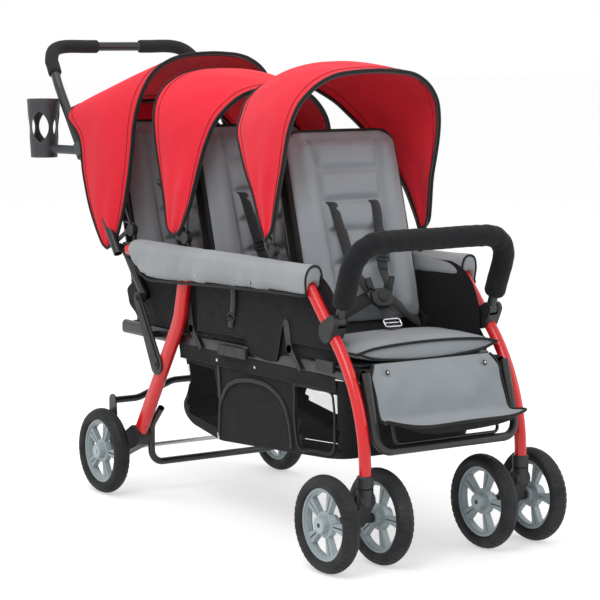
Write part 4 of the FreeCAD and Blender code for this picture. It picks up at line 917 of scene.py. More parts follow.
def back_rim():
    """The line of the piping round the seat back's face."""
    points = []
    for along in (14, 60, 130, 200, 270, 330, 378):
        points.append((-back_half_width(along) - 1, 6, along))
    for angle in (10, 32, 55, 78):
        turn = math.radians(angle)
        points.append((-107 - 36 * math.cos(turn), 6, 390 + 36 * math.sin(turn)))
    points.append((-80, 6, 426.5))
    points += [(0, 6, 427)]
    points += [(-x, y, z) for x, y, z in reversed(points[:-1])]
    return [Vector(p) * MM for p in points]


back = seat_back_piece()
rim_line = curve_through(back_rim(), 150)
back_piping = cordlet("back_piping", rim_line, BACK_PIPING, "piping")
for number, seat in enumerate(SEATS):
    pad = copied(back, f"seat_back_pad_{seat}")
    edge = copied(back_piping, f"seat_back_piping_{seat}")
    for piece in (pad, edge):
        piece.data.transform(back_matrix(number))
    settle(pad, f"seat_back_{seat}", "grey_fabric", f"seat_back_{seat}")
    settle(edge, f"seat_back_{seat}", "black_fabric")
discard(back, back_piping)


# Seat cushions: a pillow whose front band narrows to a point at each corner
CUSHION_HALF = 178
CUSHION_MID = 431
CUSHION_REAR = 212
CUSHION_FLOOR = 409.6
CUSHION_STATIONS = (178, 176, 170, 160, 145, 125, 100, 70, 35)
CUSHION_ROWS = 12
CUSHION_SWELL = 0.005
CUSHION_SIDE_PIPING = 0.0026
# Piping over and under the front band: which edge, and its radius in millimetres
CUSHION_PIPINGS = ((0, 3.0), (1, 2.6))


def cushion_edge(x):
    """Upper and lower edge of the front band at a place across the seat."""
    share = max(0, 1 - (abs(x) / CUSHION_HALF) ** 2.2)
    return CUSHION_MID + 15 * share ** 0.6, CUSHION_MID - 20 * share ** 0.6


def cushion_piece():
    """A flat-bottomed pillow with a crowned top, filled and a little rumpled."""
    rows = []
    for x in [-x for x in CUSHION_STATIONS] + [0] + list(reversed(CUSHION_STATIONS)):
        top, base = cushion_edge(x)
        share = max(0, 1 - (abs(x) / CUSHION_HALF) ** 3)
        crown = 7 * share
        front = 19 - 3 * share
        depth = CUSHION_REAR - front
        row = []
        for k in range(CUSHION_ROWS + 1):
            t = k / CUSHION_ROWS
            rise = crown * math.sin(math.pi * min(1, t * 1.15)) ** 0.6 - 48 * max(0, t - 0.9)
            row.append(place(x, front + depth * t, top + rise))
        row.append(place(x, CUSHION_REAR + 4, (top + base) / 2))
        floor = max(base, CUSHION_FLOOR + 0.6)
        for k in range(CUSHION_ROWS + 1):
            row.append(place(x, front + depth * (1 - k / CUSHION_ROWS), floor))
        row.append(place(x, front - 1.5, (top + base) / 2))
        rows.append(row)
    piece = skin("seat_cushion_form", rows, "grey_fabric", closed=True, capped=True)
    inflated(piece, CUSHION_SWELL)
    points = points_of(piece)
    local = points / MM
    upper = np.clip((local[:, 2] - 435) / 12, 0, 1)
    points[:, 2] += ripple(points, 30, 5) * upper * 1.6 * MM
    points[:, 2] = np.maximum(points[:, 2], CUSHION_FLOOR * MM)
    set_points(piece, points)
    return subdivided(piece)


def cushion_pipings():
    """Piping over and under the front band, and along both sides."""
    lines = []
    for which, radius in CUSHION_PIPINGS:
        points = []
        for k in range(13):
            x = -CUSHION_HALF - 2 + (2 * CUSHION_HALF + 4) * k / 12
            edge = cushion_edge(min(CUSHION_HALF, abs(x)))[which]
            rise = 1 if which == 0 else 2.5 * (abs(x) / CUSHION_HALF) ** 2
            points.append(place(x, 15 if abs(x) < 170 else 17, edge + rise))
        lines.append(cordlet(f"cushion_line_{which}", curve_through(points, 90), radius * MM, "piping"))
    for side in (RIGHT, LEFT):
        points = [(side * CUSHION_HALF, y, CUSHION_MID) for y in (17, 60, 110, 160, 208)]
        lines.append(cordlet("cushion_side", line_of(points, 40), CUSHION_SIDE_PIPING, "piping"))
    return joined("cushion_piping", lines)


cushion = cushion_piece()
cushion_piping = cushion_pipings()
for number, seat in enumerate(SEATS):
    shift = (0, number * SEAT_PITCH, 0)
    pad = copied(cushion, f"seat_cushion_{seat}", shift)
    edge = copied(cushion_piping, f"seat_cushion_piping_{seat}", shift)
    settle(pad, "chassis", "grey_fabric", *([] if number else ["seat_cushions"]))
    settle(edge, "chassis", "black_fabric")
discard(cushion, cushion_piping)


# Arm pads
PAD_SECTION = (
    (-17, -37), (-21, -34), (-22.5, -24), (-22, -8), (-20, 8), (-15, 20), (-8, 26.5), (0, 28.5),
    (8, 26), (14, 19), (17.5, 8), (18.5, -4), (18.5, -16), (16, -23), (12, -22), (10, -12),
    (4, -8), (-4, -8), (-10, -12), (-13, -24),
)
PAD_HEM = ((138, 539), (274, 538), (495, 529), (653, 521), (770, 517), (819, 528), (848, 550), (879, 574))
PAD_STATIONS = (
    138, 140, 145, 154, 166, 190, 230, 280, 340, 400, 460, 520, 580, 640, 700, 760, 815, 850, 868, 876, 879,
)
PAD_FRONT = PAD_STATIONS[0]
PAD_REAR = PAD_STATIONS[-1]
RAIL_X = -200
RAIL_UP = 575
PAD_SWELL = 0.005
PAD_VOXEL = 0.005
PAD_PIPING = 0.0032
PAD_END_PIPING = 0.0022
SNAP_RISE = 2.2


def pad_low(y):
    """Height of the pad's outer lower edge."""
    return np.interp(y, [p[0] for p in PAD_HEM], [p[1] for p in PAD_HEM])


def arm_pad_piece():
    """The right pad: a padded sleeve over the rail, filled and pulled into folds on its outer side."""
    rows = []
    for y in PAD_STATIONS:
        front = min(1, max(0.0, (y - PAD_FRONT) / 9)) ** 0.5
        rear = min(1, max(0.0, (PAD_REAR - y) / 30)) ** 0.55
        full = 0.72 + 0.28 * min(front, rear)
        lift = 26 * (1 - rear) + 6 * max(0, (y - 710) / 170) ** 2
        row = []
        for x, z in PAD_SECTION:
            height = z * full + (lift if z < 0 else 0)
            if z < 0 and x < -12:
                height = z * (RAIL_UP - pad_low(y)) / 37
            lean = 6 * max(0, (20 - z) / 57) * (1 - eased((y - PAD_FRONT) / 60))
            row.append(place(RAIL_X + x * full, y + lean, RAIL_UP + height))
        rows.append(row)
    piece = skin("arm_pad_form", rows, "pad_fabric", closed=True, capped=True)
    inflated(piece, PAD_SWELL, voxel=PAD_VOXEL)
    points = points_of(piece)
    local = points / MM
    outer = np.clip((-203 - local[:, 0]) / 12, 0, 1)
    low = np.clip((RAIL_UP - local[:, 2]) / 30, 0, 1)
    folds = np.sin(local[:, 1] / 17 + np.sin(local[:, 1] / 41) * 2.2 + local[:, 2] / 21)
    points[:, 0] -= folds * outer * (0.4 + low) * 1.3 * MM
    points[:, 2] += ripple(points, 34, 8) * 1.2 * MM
    set_points(piece, points)
    return subdivided(piece)


def arm_pad_trim():
    """Piping along the pad's lower edge and round its front end."""
    lower = [(-217, 142, 545), (-219, 146, 541), (-220, 160, 540)]
    lower += [(-221, y, pad_low(y)) for y in (230, 330, 430, 530, 630, 710, 770, 800)]
    lower += [(-220, 822, 531), (-218, 848, 552), (-214, 870, 576)]
    hem = cordlet("pad_hem", line_of(lower, 160), PAD_PIPING, "piping")
    end = [
        (-218, 145, 545), (-221, 143, 575), (-214, 140, 596), (-200, 139, 602), (-187, 140, 595),
        (-181, 141, 575), (-182, 144, 556),
    ]
    seam = cordlet("pad_end_seam", line_of(end, 60), PAD_END_PIPING, "piping")
    return joined("arm_pad_trim", [hem, seam])


def snaps(name, places, facing, radius=4.6):
    """Press studs: a black head with a bright pip."""
    heads = []
    for k, centre in enumerate(places):
        heads.append(dome(f"{name}_{k}", centre, facing, radius * MM, SNAP_RISE * MM, "black_plastic"))
        inner = Vector(centre) + Vector(facing).normalized() * 2.0 * MM
        heads.append(dome(f"{name}_{k}_pip", inner, facing, radius * 0.45 * MM, 1.1 * MM, "silver"))
    return joined(name, heads)


ARM_SNAPS = ((345, 551), (567, 545), (784, 536))
ARM_SNAP_X = -223.5
for pad in both_sides(arm_pad_piece(), "arm_pad", "chassis", "light_grey_fabric", "arm_pads"):
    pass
both_sides(arm_pad_trim(), "arm_pad_trim", "chassis", "black_fabric")
arm_snaps = snaps("arm_pad_snaps", [place(ARM_SNAP_X, y, z) for y, z in ARM_SNAPS], (-1, 0, -0.1))
both_sides(arm_snaps, "arm_pad_snaps", "chassis", "black_plastic")


# Canopies: the right half of each edge, from the tip by the knob to the middle of the top
KNOB_UP = 621
HOODS = {
    "front": {
        "knob": 299, "tip": (-206, 316, 640), "flat": (1.16, 0.37), "area": 0.25,
        "fore": [
            (-206, 292, 662), (-206, 284, 680), (-206, 263, 754), (-206, 248, 801), (-205, 236, 850),
            (-200, 227, 888), (-188, 218, 924), (-170, 211, 948), (-145, 206, 969), (-104, 201, 987),
            (-50, 199, 994), (0, 198, 996),
        ],
        "aft": [
            (-206, 325, 656), (-206, 335, 678), (-206, 361, 734), (-203, 394, 780), (-190, 434, 821),
            (-174, 473, 861), (-148, 498, 895), (-125, 517, 921), (-98, 531, 940), (-70, 541, 955),
            (-30, 550, 967), (0, 552, 970),
        ],
    },
    "middle": {
        "knob": 649, "tip": (-206, 690, 624), "flat": (1.1, 0.32), "area": 0.22,
        "fore": [
            (-206, 668, 632), (-206, 652, 647), (-205, 624, 690), (-198, 610, 742), (-187, 606, 788),
            (-175, 601, 831), (-158, 592, 876), (-132, 585, 908), (-97, 580, 934), (-52, 576, 949),
            (0, 575, 953),
        ],
        "aft": [
            (-206, 706, 631), (-206, 718, 648), (-206, 732, 711), (-205, 752, 776), (-203, 768, 822),
            (-198, 785, 871), (-182, 806, 910), (-155, 824, 942), (-125, 835, 962), (-89, 844, 978),
            (-46, 849, 987), (0, 851, 990),
        ],
    },
    "rear": {
        "knob": 890, "tip": (-214, 980, 572), "flat": (1.16, 0.36), "area": 0.25,
        "fore": [
            (-211, 958, 584), (-208, 942, 602), (-207, 914, 663), (-207, 888, 740), (-207, 872, 808),
            (-205, 867, 855), (-196, 862, 908), (-178, 857, 955), (-153, 854, 988), (-115, 852, 1011),
            (-76, 851, 1022), (-30, 850, 1026), (0, 850, 1027),
        ],
        "aft": [
            (-220, 986, 580), (-225, 996, 601), (-227, 1016, 633), (-228, 1036, 670), (-228, 1054, 714),
            (-228, 1066, 751), (-228, 1070, 780), (-228, 1074, 804), (-228, 1082, 826), (-228, 1098, 843),
            (-227, 1124, 858), (-224, 1150, 874), (-212, 1164, 888), (-190, 1165, 897), (-150, 1158, 903),
            (-80, 1150, 908), (0, 1146, 910),
        ],
    },
}
HOOD_ACROSS = 49
HOOD_ALONG = 18
HOOD_SAG = 12
HOOD_BULGE = 5
REAR_HOOD_BULGE = 14
REAR_HOOD_ROUND_SHARE = 0.55
FOLD_DEPTH = 2.4
LEFT_SHARE = 0.92
HUB_X = 196.9
HUB_RADIUS = 0.012
HUB_THICKNESS = 0.0062
HOOP_FOOT_X = 196.6
AFT_HOOP_FOOT_X = 190.6
HOOP_INSIDE = 4.6
AFT_HOOP_INSIDE = 5
HOOP_RADIUS = 0.003
AFT_HOOP_RADIUS = 0.0034
FORE_BINDING = 3.9
AFT_BINDING = 3.4
SEAM_RADIUS = 0.0011
FLAP_DROP = 62
FLAP_BINDING = 0.003


def hood_edge(hood, which, count):
    """One edge of the canopy from its right tip, up the side and over the top, to the middle."""
    return line_of([hood["tip"]] + hood[which], count)


def left_of(point):
    """The matching place on the left, where the hood stands a little narrower above the knobs."""
    share = 1 - (1 - LEFT_SHARE) * eased((point[2] / MM - 640) / 160)
    return np.array((-point[0] * share, point[1], point[2]))


def hood_points(hood, seat):
    """A grid of points over the canopy: rows from the right tip to the left, columns from fore to aft."""
    fore = hood_edge(hood, "fore", HOOD_ACROSS)
    aft = hood_edge(hood, "aft", HOOD_ACROSS)
    axis = np.array(place(0, hood["knob"], KNOB_UP))
    rows = []
    for k in range(HOOD_ACROSS):
        u = k / (HOOD_ACROSS - 1)
        round_share = eased((u - 0.15) / 0.4)
        f = fore[k] - axis
        a = aft[k] - axis
        rf = math.hypot(f[1], f[2])
        ra = math.hypot(a[1], a[2])
        tf = math.atan2(f[1], f[2])
        ta = math.atan2(a[1], a[2])
        row = []
        for c in range(HOOD_ALONG + 1):
            v = c / HOOD_ALONG
            hollow = 4 * v * (1 - v)
            straight = f * (1 - v) + a * v
            radius = rf * (1 - v) + ra * v - HOOD_SAG * MM * hollow * u
            angle = tf * (1 - v) + ta * v
            bent = np.array([straight[0], radius * math.sin(angle), radius * math.cos(angle)])
            share = round_share * (REAR_HOOD_ROUND_SHARE if seat == "rear" else 1)
            point = axis + straight * (1 - share) + bent * share
            bulge = HOOD_BULGE * math.sin(math.pi * min(1, u * 1.7)) * hollow
            if seat == "rear":
                wrapped = eased(v / 0.45) * (1 - v) * eased(u / 0.12) * eased((0.72 - u) / 0.2)
                bulge += REAR_HOOD_BULGE * wrapped
            point[0] -= bulge * MM
            row.append(point)
        rows.append(row)
    far = [[left_of(p) for p in row] for row in reversed(rows[:-1])]
    return rows + far


def hood_wrinkles(rows, seed):
    """Tension folds that start at the tips and die out over the top."""
    grid = np.array(rows, float)
    count = len(rows)
    for k in range(count):
        reach = min(k, count - 1 - k) / (count / 2)
        side = -1 if k < count / 2 else 1
        for c in range(HOOD_ALONG + 1):
            v = c / HOOD_ALONG
            inside = 4 * v * (1 - v)
            fold = math.sin(v * 13 + reach * 8 + seed) * inside * math.exp(-((reach - 0.18) / 0.3) ** 2)
            grid[k, c, 0] += side * fold * FOLD_DEPTH * MM
            soft = math.sin(v * 9 + k * 0.5 + seed) * math.sin(k * 0.31 + v * 3) * inside
            grid[k, c, 2] += soft * 2.0 * MM * min(1, reach * 1.6)
            grid[k, c, 0] += side * soft * 1.2 * MM * eased((0.7 - reach) / 0.4)
    return grid


def inside_of(line, hood, distance):
    """A line moved towards the middle of the hood, where its bow runs."""
    middle = np.array(place(0, hood["knob"] + 30, KNOB_UP + 120))
    away = middle - line
    away /= np.linalg.norm(away, axis=1)[:, None]
    return line + away * distance * MM


def bow_piece(seat, hood, line):
    """The folding bow: a wire inside the fabric's front edge, with a hub disc on each knob."""
    wire = [p for p in inside_of(line, hood, HOOP_INSIDE) if p[2] > (KNOB_UP + 50) * MM]
    feet = [np.array(place(sign * HOOP_FOOT_X, hood["knob"], KNOB_UP)) for sign in (RIGHT, LEFT)]
    path = curve_through([feet[0]] + wire + [feet[1]], 160)
    parts = [cordlet("wire", path, HOOP_RADIUS, "black_frame")]
    for sign in (RIGHT, LEFT):
        centre = place(sign * HUB_X, hood["knob"], KNOB_UP)
        disc = [
            centre + Vector((0, y, z)) - Vector((HUB_THICKNESS / 2, 0, 0)) for y, z in ring(HUB_RADIUS, 28)
        ]
        parts.append(slab("hub", disc, (1, 0, 0), HUB_THICKNESS, "black_plastic", 0.0008))
    return joined(f"canopy_hoop_{seat}", parts)


def tip_strap(seat, hood):
    """The short tab that ties the tip of the fabric to its knob, on both sides."""
    tip = hood["tip"]
    tabs = []
    for sign in (RIGHT, LEFT):
        start = place(sign * 204.5, tip[1] - 1, tip[2] + 12)
        end = place(sign * 203, hood["knob"] + 10, KNOB_UP - 2)
        middle = (start + end) / 2 + Vector((sign * 0.002, 0, -0.006))
        line = curve_through([start, middle, end], 16)
        tabs.append(sweep("tab", line, band(0.012, 0.0016), "webbing", up=(sign, 0, 0)))
    return joined(f"canopy_tabs_{seat}", tabs)


def back_flap(line):
    """The strip of cloth that hangs behind the rear seat from the hood's back edge."""
    edge = [p for p in line if abs(p[0]) < 0.196 and p[2] > 0.88]
    rows = []
    for share in np.linspace(0, 1, 8):
        row = []
        for k, point in enumerate(edge):
            wave = math.sin(k * 0.7 + share * 2) * 1.4 * share
            back = point[1] - (7 * share - wave) * MM
            row.append((point[0] * (1 - 0.02 * share), back, point[2] - FLAP_DROP * share * MM))
        rows.append(row)
    flap = subdivided(skin("canopy_back_flap", rows, "red_fabric"))
    binding = cordlet("canopy_back_flap_binding",
                      curve_through([Vector(p) for p in rows[-1]], 90), FLAP_BINDING, "piping")
    settle(flap, "chassis", "red_fabric")
    settle(binding, "chassis", "black_fabric")


def hood_pieces(seat, hood, number):
    """One canopy with its bindings, seams, tabs and bow; its rear wire is handed back to be joined."""
    grid = hood_wrinkles(hood_points(hood, seat), number * 1.7)
    cloth = skin(f"canopy_cloth_{seat}", [[tuple(p) for p in row] for row in grid], "red_fabric")
    subdivided(subdivided(cloth))
    edges = {}
    lines = {}
    bindings = (("fore", 0, f"bow_{seat}", FORE_BINDING), ("aft", HOOD_ALONG, "chassis", AFT_BINDING))
    for name, column, body, radius in bindings:
        lines[name] = curve_through(grid[:, column], 210)
        edges[name] = cordlet(f"canopy_binding_{name}_{seat}", lines[name], radius * MM, "piping", 10)
        settle(edges[name], body, "black_fabric")
    settle(bow_piece(seat, hood, lines["fore"]), f"bow_{seat}", "black_frame", f"canopy_bow_{seat}")
    tabs = tip_strap(seat, hood)
    settle(tabs, "chassis", "black_fabric")
    seams = []
    for column in (1.5, HOOD_ALONG - 1.3):
        low = int(column)
        share = column - low
        line = [grid[k, low] * (1 - share) + grid[k, low + 1] * share for k in range(3, len(grid) - 3)]
        seams.append(cordlet("seam", curve_through(line, 170), SEAM_RADIUS, "thread", 6))
    seam = joined(f"canopy_seams_{seat}", seams)
    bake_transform(cloth)
    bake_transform(seam)
    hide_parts(f"canopy_{seat}")
    if seat == "rear":
        back_flap(lines["aft"])
    aft_wire = [p for p in inside_of(lines["aft"], hood, AFT_HOOP_INSIDE) if p[2] > (KNOB_UP + 40) * MM]
    feet = [np.array(place(sign * AFT_HOOP_FOOT_X, hood["knob"], KNOB_UP + 12)) for sign in (RIGHT, LEFT)]
    path = curve_through([feet[0]] + aft_wire + [feet[1]], 150)
    return cordlet("aft_wire", path, AFT_HOOP_RADIUS, "black_frame")


aft_wires = [hood_pieces(seat, hood, number) for number, (seat, hood) in enumerate(HOODS.items())]
settle(joined("canopy_rear_hoops", aft_wires), "chassis", "black_frame", "canopy_rear_bows")


# Side panels: black cloth between the seats and the arm pads, gathered behind the rear seat
PANEL_ACROSS = 70
PANEL_UP = 18
PANEL_X = -180.3
PANEL_LOW = 405.5
PANEL_HEIGHT = 182
PANEL_FRONT = 76
PANEL_REAR = 886


def side_panel_rows():
    """The right panel from the rail up: its front edge follows the leg, its rear end bunches up."""
    rows = []
    for v in np.linspace(0, 1, PANEL_UP + 1):
        row = []
        z = PANEL_LOW + PANEL_HEIGHT * v
        rise = max(0, z - 470)
        front = PANEL_FRONT + 108 * (1 - math.sqrt(max(0, 1 - (rise / 118) ** 2)))
        rear = PANEL_REAR + 66 * math.exp(-((z - 466) / 42) ** 2)
        for u in np.linspace(0, 1, PANEL_ACROSS + 1):
            y = front + (rear - front) * u
            gather = eased((u - 0.88) / 0.1) * math.exp(-((z - 462) / 50) ** 2)
            depth = math.sin(u * 37 + v * 3) * 0.6 + math.sin(u * 91 + v * 7) * 0.4
            depth += 1.5 * math.sin(u * 12 + 1.3 * v) * math.sin(v * math.pi)
            lumps = gather * 7 * (0.5 + 0.5 * math.sin(z / 6.2 + u * 9))
            row.append(place(PANEL_X + depth * math.sin(v * math.pi) + lumps, y, z))
        rows.append(row)
    return rows


# The outer skirt hangs from the pad over the rail, with an arch for the link and a flap behind it
SKIRT_HEM = (
    (60, 434), (109, 434), (236, 432), (241, 444), (247, 466), (256, 479), (268, 477), (279, 455),
    (287, 424), (293, 397), (301, 384), (330, 381), (372, 386), (404, 392), (412, 404), (418, 419),
    (470, 420), (616, 417),
)


SKIRT_STRAP = ((-200, 452, 538), (-196.5, 456, 505), (-193.5, 463, 478), (-193, 467, 466))
SKIRT_TAIL = ((-192.4, 469, 458), (-192.6, 472, 448), (-191.6, 474, 438))
RING_SHARES = ((-1, 0.9), (0, 1.1), (1, 0.9), (1.1, 0), (0.7, -0.9), (0, -1.2), (-0.7, -0.9), (-1.1, 0))
SKIRT_TOP = 555
SKIRT_X = -188.6
# Stretches of the skirt as (front, rear, number of columns), closest round the arch and the flap
SKIRT_STRETCHES = ((112, 228, 14), (228, 306, 40), (306, 400, 10), (400, 424, 12), (424, 616, 20))


def skirt_rows():
    """The right skirt from its hem up to the pad, leaning out over the arm rail."""
    rows = []
    stations = np.unique(np.concatenate([np.linspace(*stretch) for stretch in SKIRT_STRETCHES]))
    hem_y, hem_z = zip(*SKIRT_HEM)
    for share in np.linspace(0, 1, 16):
        row = []
        for y in stations:
            low = np.interp(y, hem_y, hem_z)
            z = low + (SKIRT_TOP - low) * share
            front = 68 + max(0, z - 434) * 0.92
            along = max(y, front) if y > 130 else front + (y - 112)
            lean = 7.5 * max(0, (z - 470) / 85) ** 1.3
            wave = math.sin(y / 31 + z / 60) * 0.9 + math.sin(y / 13 + z / 23) * 0.35
            calm = eased((along - 200) / 60)
            x = SKIRT_X - lean * calm - wave * calm * 0.9
            if along < 200:
                x = max(x, -186.9 - 1.7 * eased((along - front - 25) / 30))
            row.append(place(x, along, z))
        rows.append(row)
    return rows


def skirt_trim(rows):
    """A raised hem, and a webbing strap with its ring and tail."""
    hem = curve_through([p + Vector((-0.0006, 0, 0.001)) for p in rows[0]], 260)
    parts = [sweep("hem", hem, band(0.0022, 0.0012), "piping", up=(-1, 0, 0))]
    parts.append(sweep("strap", line_of(SKIRT_STRAP, 24), band(0.02, 0.0018), "webbing", up=(-1, 0, 0)))
    parts.append(sweep("tail", line_of(SKIRT_TAIL, 10), band(0.018, 0.0016), "webbing", up=(-1, 0, 0)))
    loop = line_of([(-194.2, 468 + a * 11, 461 + b * 8) for a, b in RING_SHARES], 40, closed=True)
    parts.append(sweep("ring", loop, ring(0.0017, 8), "black_plastic", up=(-1, 0, 0), closed=True))
    return joined("skirt_trim", parts)


panel_form = subdivided(skin("side_panel_form", side_panel_rows(), "black_fabric"))
skirt_form = subdivided(skin("skirt_form", skirt_rows(), "black_fabric"))
trim_form = skirt_trim(skirt_rows())
panels = both_sides(panel_form, "side_panel", "chassis", "black_fabric", "side_panels")
skirts = both_sides(skirt_form, "side_skirt", "chassis", "black_fabric")
trims = both_sides(trim_form, "side_skirt_trim", "chassis", "black_fabric")


# Calf panel: bellied cloth with drawn-in sides, its shelf for the feet and a lip under the shelf
CALF_HALVES = ((0, 150), (0.18, 166), (0.4, 171), (0.62, 168), (0.74, 160), (0.82, 168), (1, 181))
CALF_PATH = (
    (7, 411), (0, 402), (-11, 380), (-23, 350), (-33, 322), (-42, 306), (-58, 301), (-80, 300), (-102, 299.5),
)
CALF_ROWS = 40
CALF_COLUMNS = 40
CALF_SNAP_X = 125
CALF_BELLY = 9
CALF_BINDING = 0.0034
# The share of the way down at which the hanging cloth turns into the shelf
CALF_BEND_SHARE = 0.7


def calf_half(v):
    """Half the cloth's width from its top hem to the shelf's front, within the frame's tubes."""
    return min(np.interp(v, *zip(*CALF_HALVES)), 164 if v < CALF_BEND_SHARE else 174)


def calf_rows():
    """The cloth across, from the top hem down: a belly with creases from the snaps, then the shelf."""
    path = line_of([(0, y, z) for y, z in CALF_PATH], CALF_ROWS)
    rows = []
    for k, point in enumerate(path):
        v = k / (CALF_ROWS - 1)
        half = calf_half(v)
        row = []
        for c in range(CALF_COLUMNS + 1):
            u = c / CALF_COLUMNS * 2 - 1
            x = u * half
            hung = min(1, v / CALF_BEND_SHARE)
            belly = 0
            if v < CALF_BEND_SHARE:
                belly = (1 - abs(u) ** 2.4) * math.sin(hung * math.pi) ** 0.8 * CALF_BELLY
            radial = math.sin(u * 9 + hung * 4) * math.sin(hung * 5.5) * abs(u) ** 0.7 * 3.4
            radial += math.sin(u * 17 - hung * 9) * math.exp(-((hung - 0.2) / 0.2) ** 2) * 1.3
            pull = math.exp(-(((abs(x) - CALF_SNAP_X) / 20) ** 2) - ((point[2] / MM - 396) / 14) ** 2) * -5
            corner = math.sin(abs(u) * 16 - hung * 7) * abs(u) ** 3 * 2.4 * math.sin(hung * math.pi)
            shelf = eased((v - 0.72) / 0.28)
            ends = (8 if u < 0 else 3) * abs(u) ** 4 * shelf
            sag = -5 * (1 - u * u) * shelf
            wave = math.sin(u * 5 + 1) * 1.6 * shelf
            y = point[1] / MM - belly - radial - pull - corner + 16 * abs(u) ** 5 * shelf
            row.append((x * MM, y * MM, point[2] + (sag + ends + wave) * MM))
        rows.append(row)
    return rows


def calf_lip_rows(edge):
    """The black underside of the shelf's front edge, deepest in the middle."""
    rows = []
    for share in np.linspace(0, 1, 6):
        row = []
        for k, point in enumerate(edge):
            u = k / (len(edge) - 1) * 2 - 1
            deep = 17 * (1 - abs(u) ** 2.2) + 2
            low = point[2] - deep * share * MM
            row.append((point[0] * (1 - 0.03 * share), point[1] + 5 * share * MM, low))
        rows.append(row)
    return rows


calf = calf_rows()
calf_cloth = subdivided(skin("calf_cloth", calf, "grey_fabric"))
calf_lip = subdivided(skin("calf_lip", calf_lip_rows(calf[-1]), "black_fabric"))
edge_line = [row[0] for row in calf] + calf[-1][1:-1] + [row[-1] for row in reversed(calf)]
calf_binding = cordlet("calf_binding", curve_through(edge_line, 260), CALF_BINDING, "piping")
calf_studs = [place(x, -9, 395) for x in (-CALF_SNAP_X, CALF_SNAP_X)]
calf_snaps = snaps("calf_snaps", calf_studs, (0, -1, 0.35), 5.4)
settle(calf_cloth, "chassis", "grey_fabric", "calf_panel")
settle(calf_lip, "chassis", "black_fabric")
settle(calf_binding, "chassis", "black_fabric")
settle(calf_snaps, "chassis", "black_plastic")


# Bumper sleeve
BUMPER_PIVOT = (60, 496)
BUMPER_LEAN = 20.3
BUMPER_START = 29
BUMPER_HALF = 195
BUMPER_REACH = 173
BUMPER_BEND = 62
SLEEVE_RADIUS = 0.0228
SLEEVE_SIDES = 24
SLEEVE_STEPS = 150


def bumper_line():
    """The bar's middle line from one sleeve end over the top to the other."""
    bend = BUMPER_REACH - BUMPER_BEND
    points = [(-BUMPER_HALF, z) for z in (BUMPER_START, (BUMPER_START + bend) / 2, bend)]
    for angle in (22.5, 45, 67.5):
        turn = math.radians(angle)
        x = -BUMPER_HALF + BUMPER_BEND * (1 - math.cos(turn))
        points.append((x, bend + BUMPER_BEND * math.sin(turn)))
    points += [(x, BUMPER_REACH) for x in (BUMPER_BEND - BUMPER_HALF, -60, 0)]
    points += [(-x, z) for x, z in reversed(points[:-1])]
    turn = Matrix.Rotation(math.radians(BUMPER_LEAN), 4, "X")
    base = place(0, *BUMPER_PIVOT)
    return [base + turn @ Vector((x * MM, 0, z * MM)) for x, z in points]


def bumper_sleeve_piece():
    """A padded sleeve with rounded ends, wrinkled most at its two bends."""
    line = curve_through(bumper_line(), SLEEVE_STEPS)
    ends = [0.62, 0.86, 0.95, 1.0]
    section = ring(SLEEVE_RADIUS, SLEEVE_SIDES)
    piece = sweep("bumper_cover", line, section, "black_fabric", up=transport(line), ends=ends)
    centres = np.repeat(line, SLEEVE_SIDES, axis=0)
    away = points_of(piece) - centres
    along = np.repeat(np.linspace(0, 1, len(line)), SLEEVE_SIDES)
    around = np.tile(np.linspace(0, 2 * math.pi, SLEEVE_SIDES, endpoint=False), len(line))
    bend = np.exp(-((along - 0.25) / 0.07) ** 2) + np.exp(-((along - 0.75) / 0.07) ** 2)
    folds = np.sin(along * 150 + np.sin(around) * 1.5) * (0.25 + bend) * 0.028
    slow = np.sin(along * 31 + around) * 0.015
    set_points(piece, centres + away * (1 + folds + slow)[:, None])
    return subdivided(piece)


sleeve = bumper_sleeve_piece()
settle(sleeve, "bumper", "black_fabric", "bumper_sleeve")


# Basket: a sagging bag of black cloth with two mesh windows in each side
BASKET_TOP = 371
BASKET_BASE = 188
BASKET_DEPTHS = (0, 0.12, 0.45, 0.62, 0.75, 0.86, 0.95, 1)
BASKET_REARS = (712, 712, 706, 726, 748, 752, 744, 722)
BASE_PLACES = (74, 84, 150, 400, 572, 700, 752)
BASE_HEIGHTS = (208, 205, 197, 181, 171, 193, 206)
BASKET_HALF = 181
BASKET_TAPER = 22
BASKET_FRONT = 58
BASKET_CORNER = 26
# How far the front wall slopes back, and how much rounder the corners get, from the hem to the floor
BASKET_SLOPE = 16
BASKET_ROUND = 120
BASKET_DOWN = 18
# Mesh windows of the basket's sides as (front, rear, first row, row after the last)
MESH_WINDOWS = ((104, 246, 3, 16), (560, 700, 4, 15))
MESH_X = 138


def basket_point(u, v):
    """A point of the bag's wall: u runs round it from 0 to 1, v from its hem down to its floor."""
    half = BASKET_HALF - BASKET_TAPER * v
    front = BASKET_FRONT + BASKET_SLOPE * v
    rear = np.interp(v, BASKET_DEPTHS, BASKET_REARS)
    corner = BASKET_CORNER + BASKET_SLOPE * v
    width = 2 * half - 2 * corner
    length = rear - front - 2 * corner
    arc = math.pi / 2 * corner
    total = 2 * width + 2 * length + 4 * arc
    s = (u % 1) * total
    west, east = -half + corner, half - corner
    south, north = front + corner, rear - corner
    runs = [
        ("line", length, (-half, north), (0, -1)), ("arc", arc, (west, south), 180),
        ("line", width, (west, front), (1, 0)), ("arc", arc, (east, south), 270),
        ("line", length, (half, south), (0, 1)), ("arc", arc, (east, north), 0),
        ("line", width, (east, rear), (-1, 0)), ("arc", arc, (west, north), 90),
    ]
    for kind, run, origin, way in runs:
        if s <= run + 1e-9:
            if kind == "line":
                return origin[0] + way[0] * s, origin[1] + way[1] * s
            turn = math.radians(way) + s / corner
            return origin[0] + corner * math.cos(turn), origin[1] + corner * math.sin(turn)
        s -= run
    return -half, north


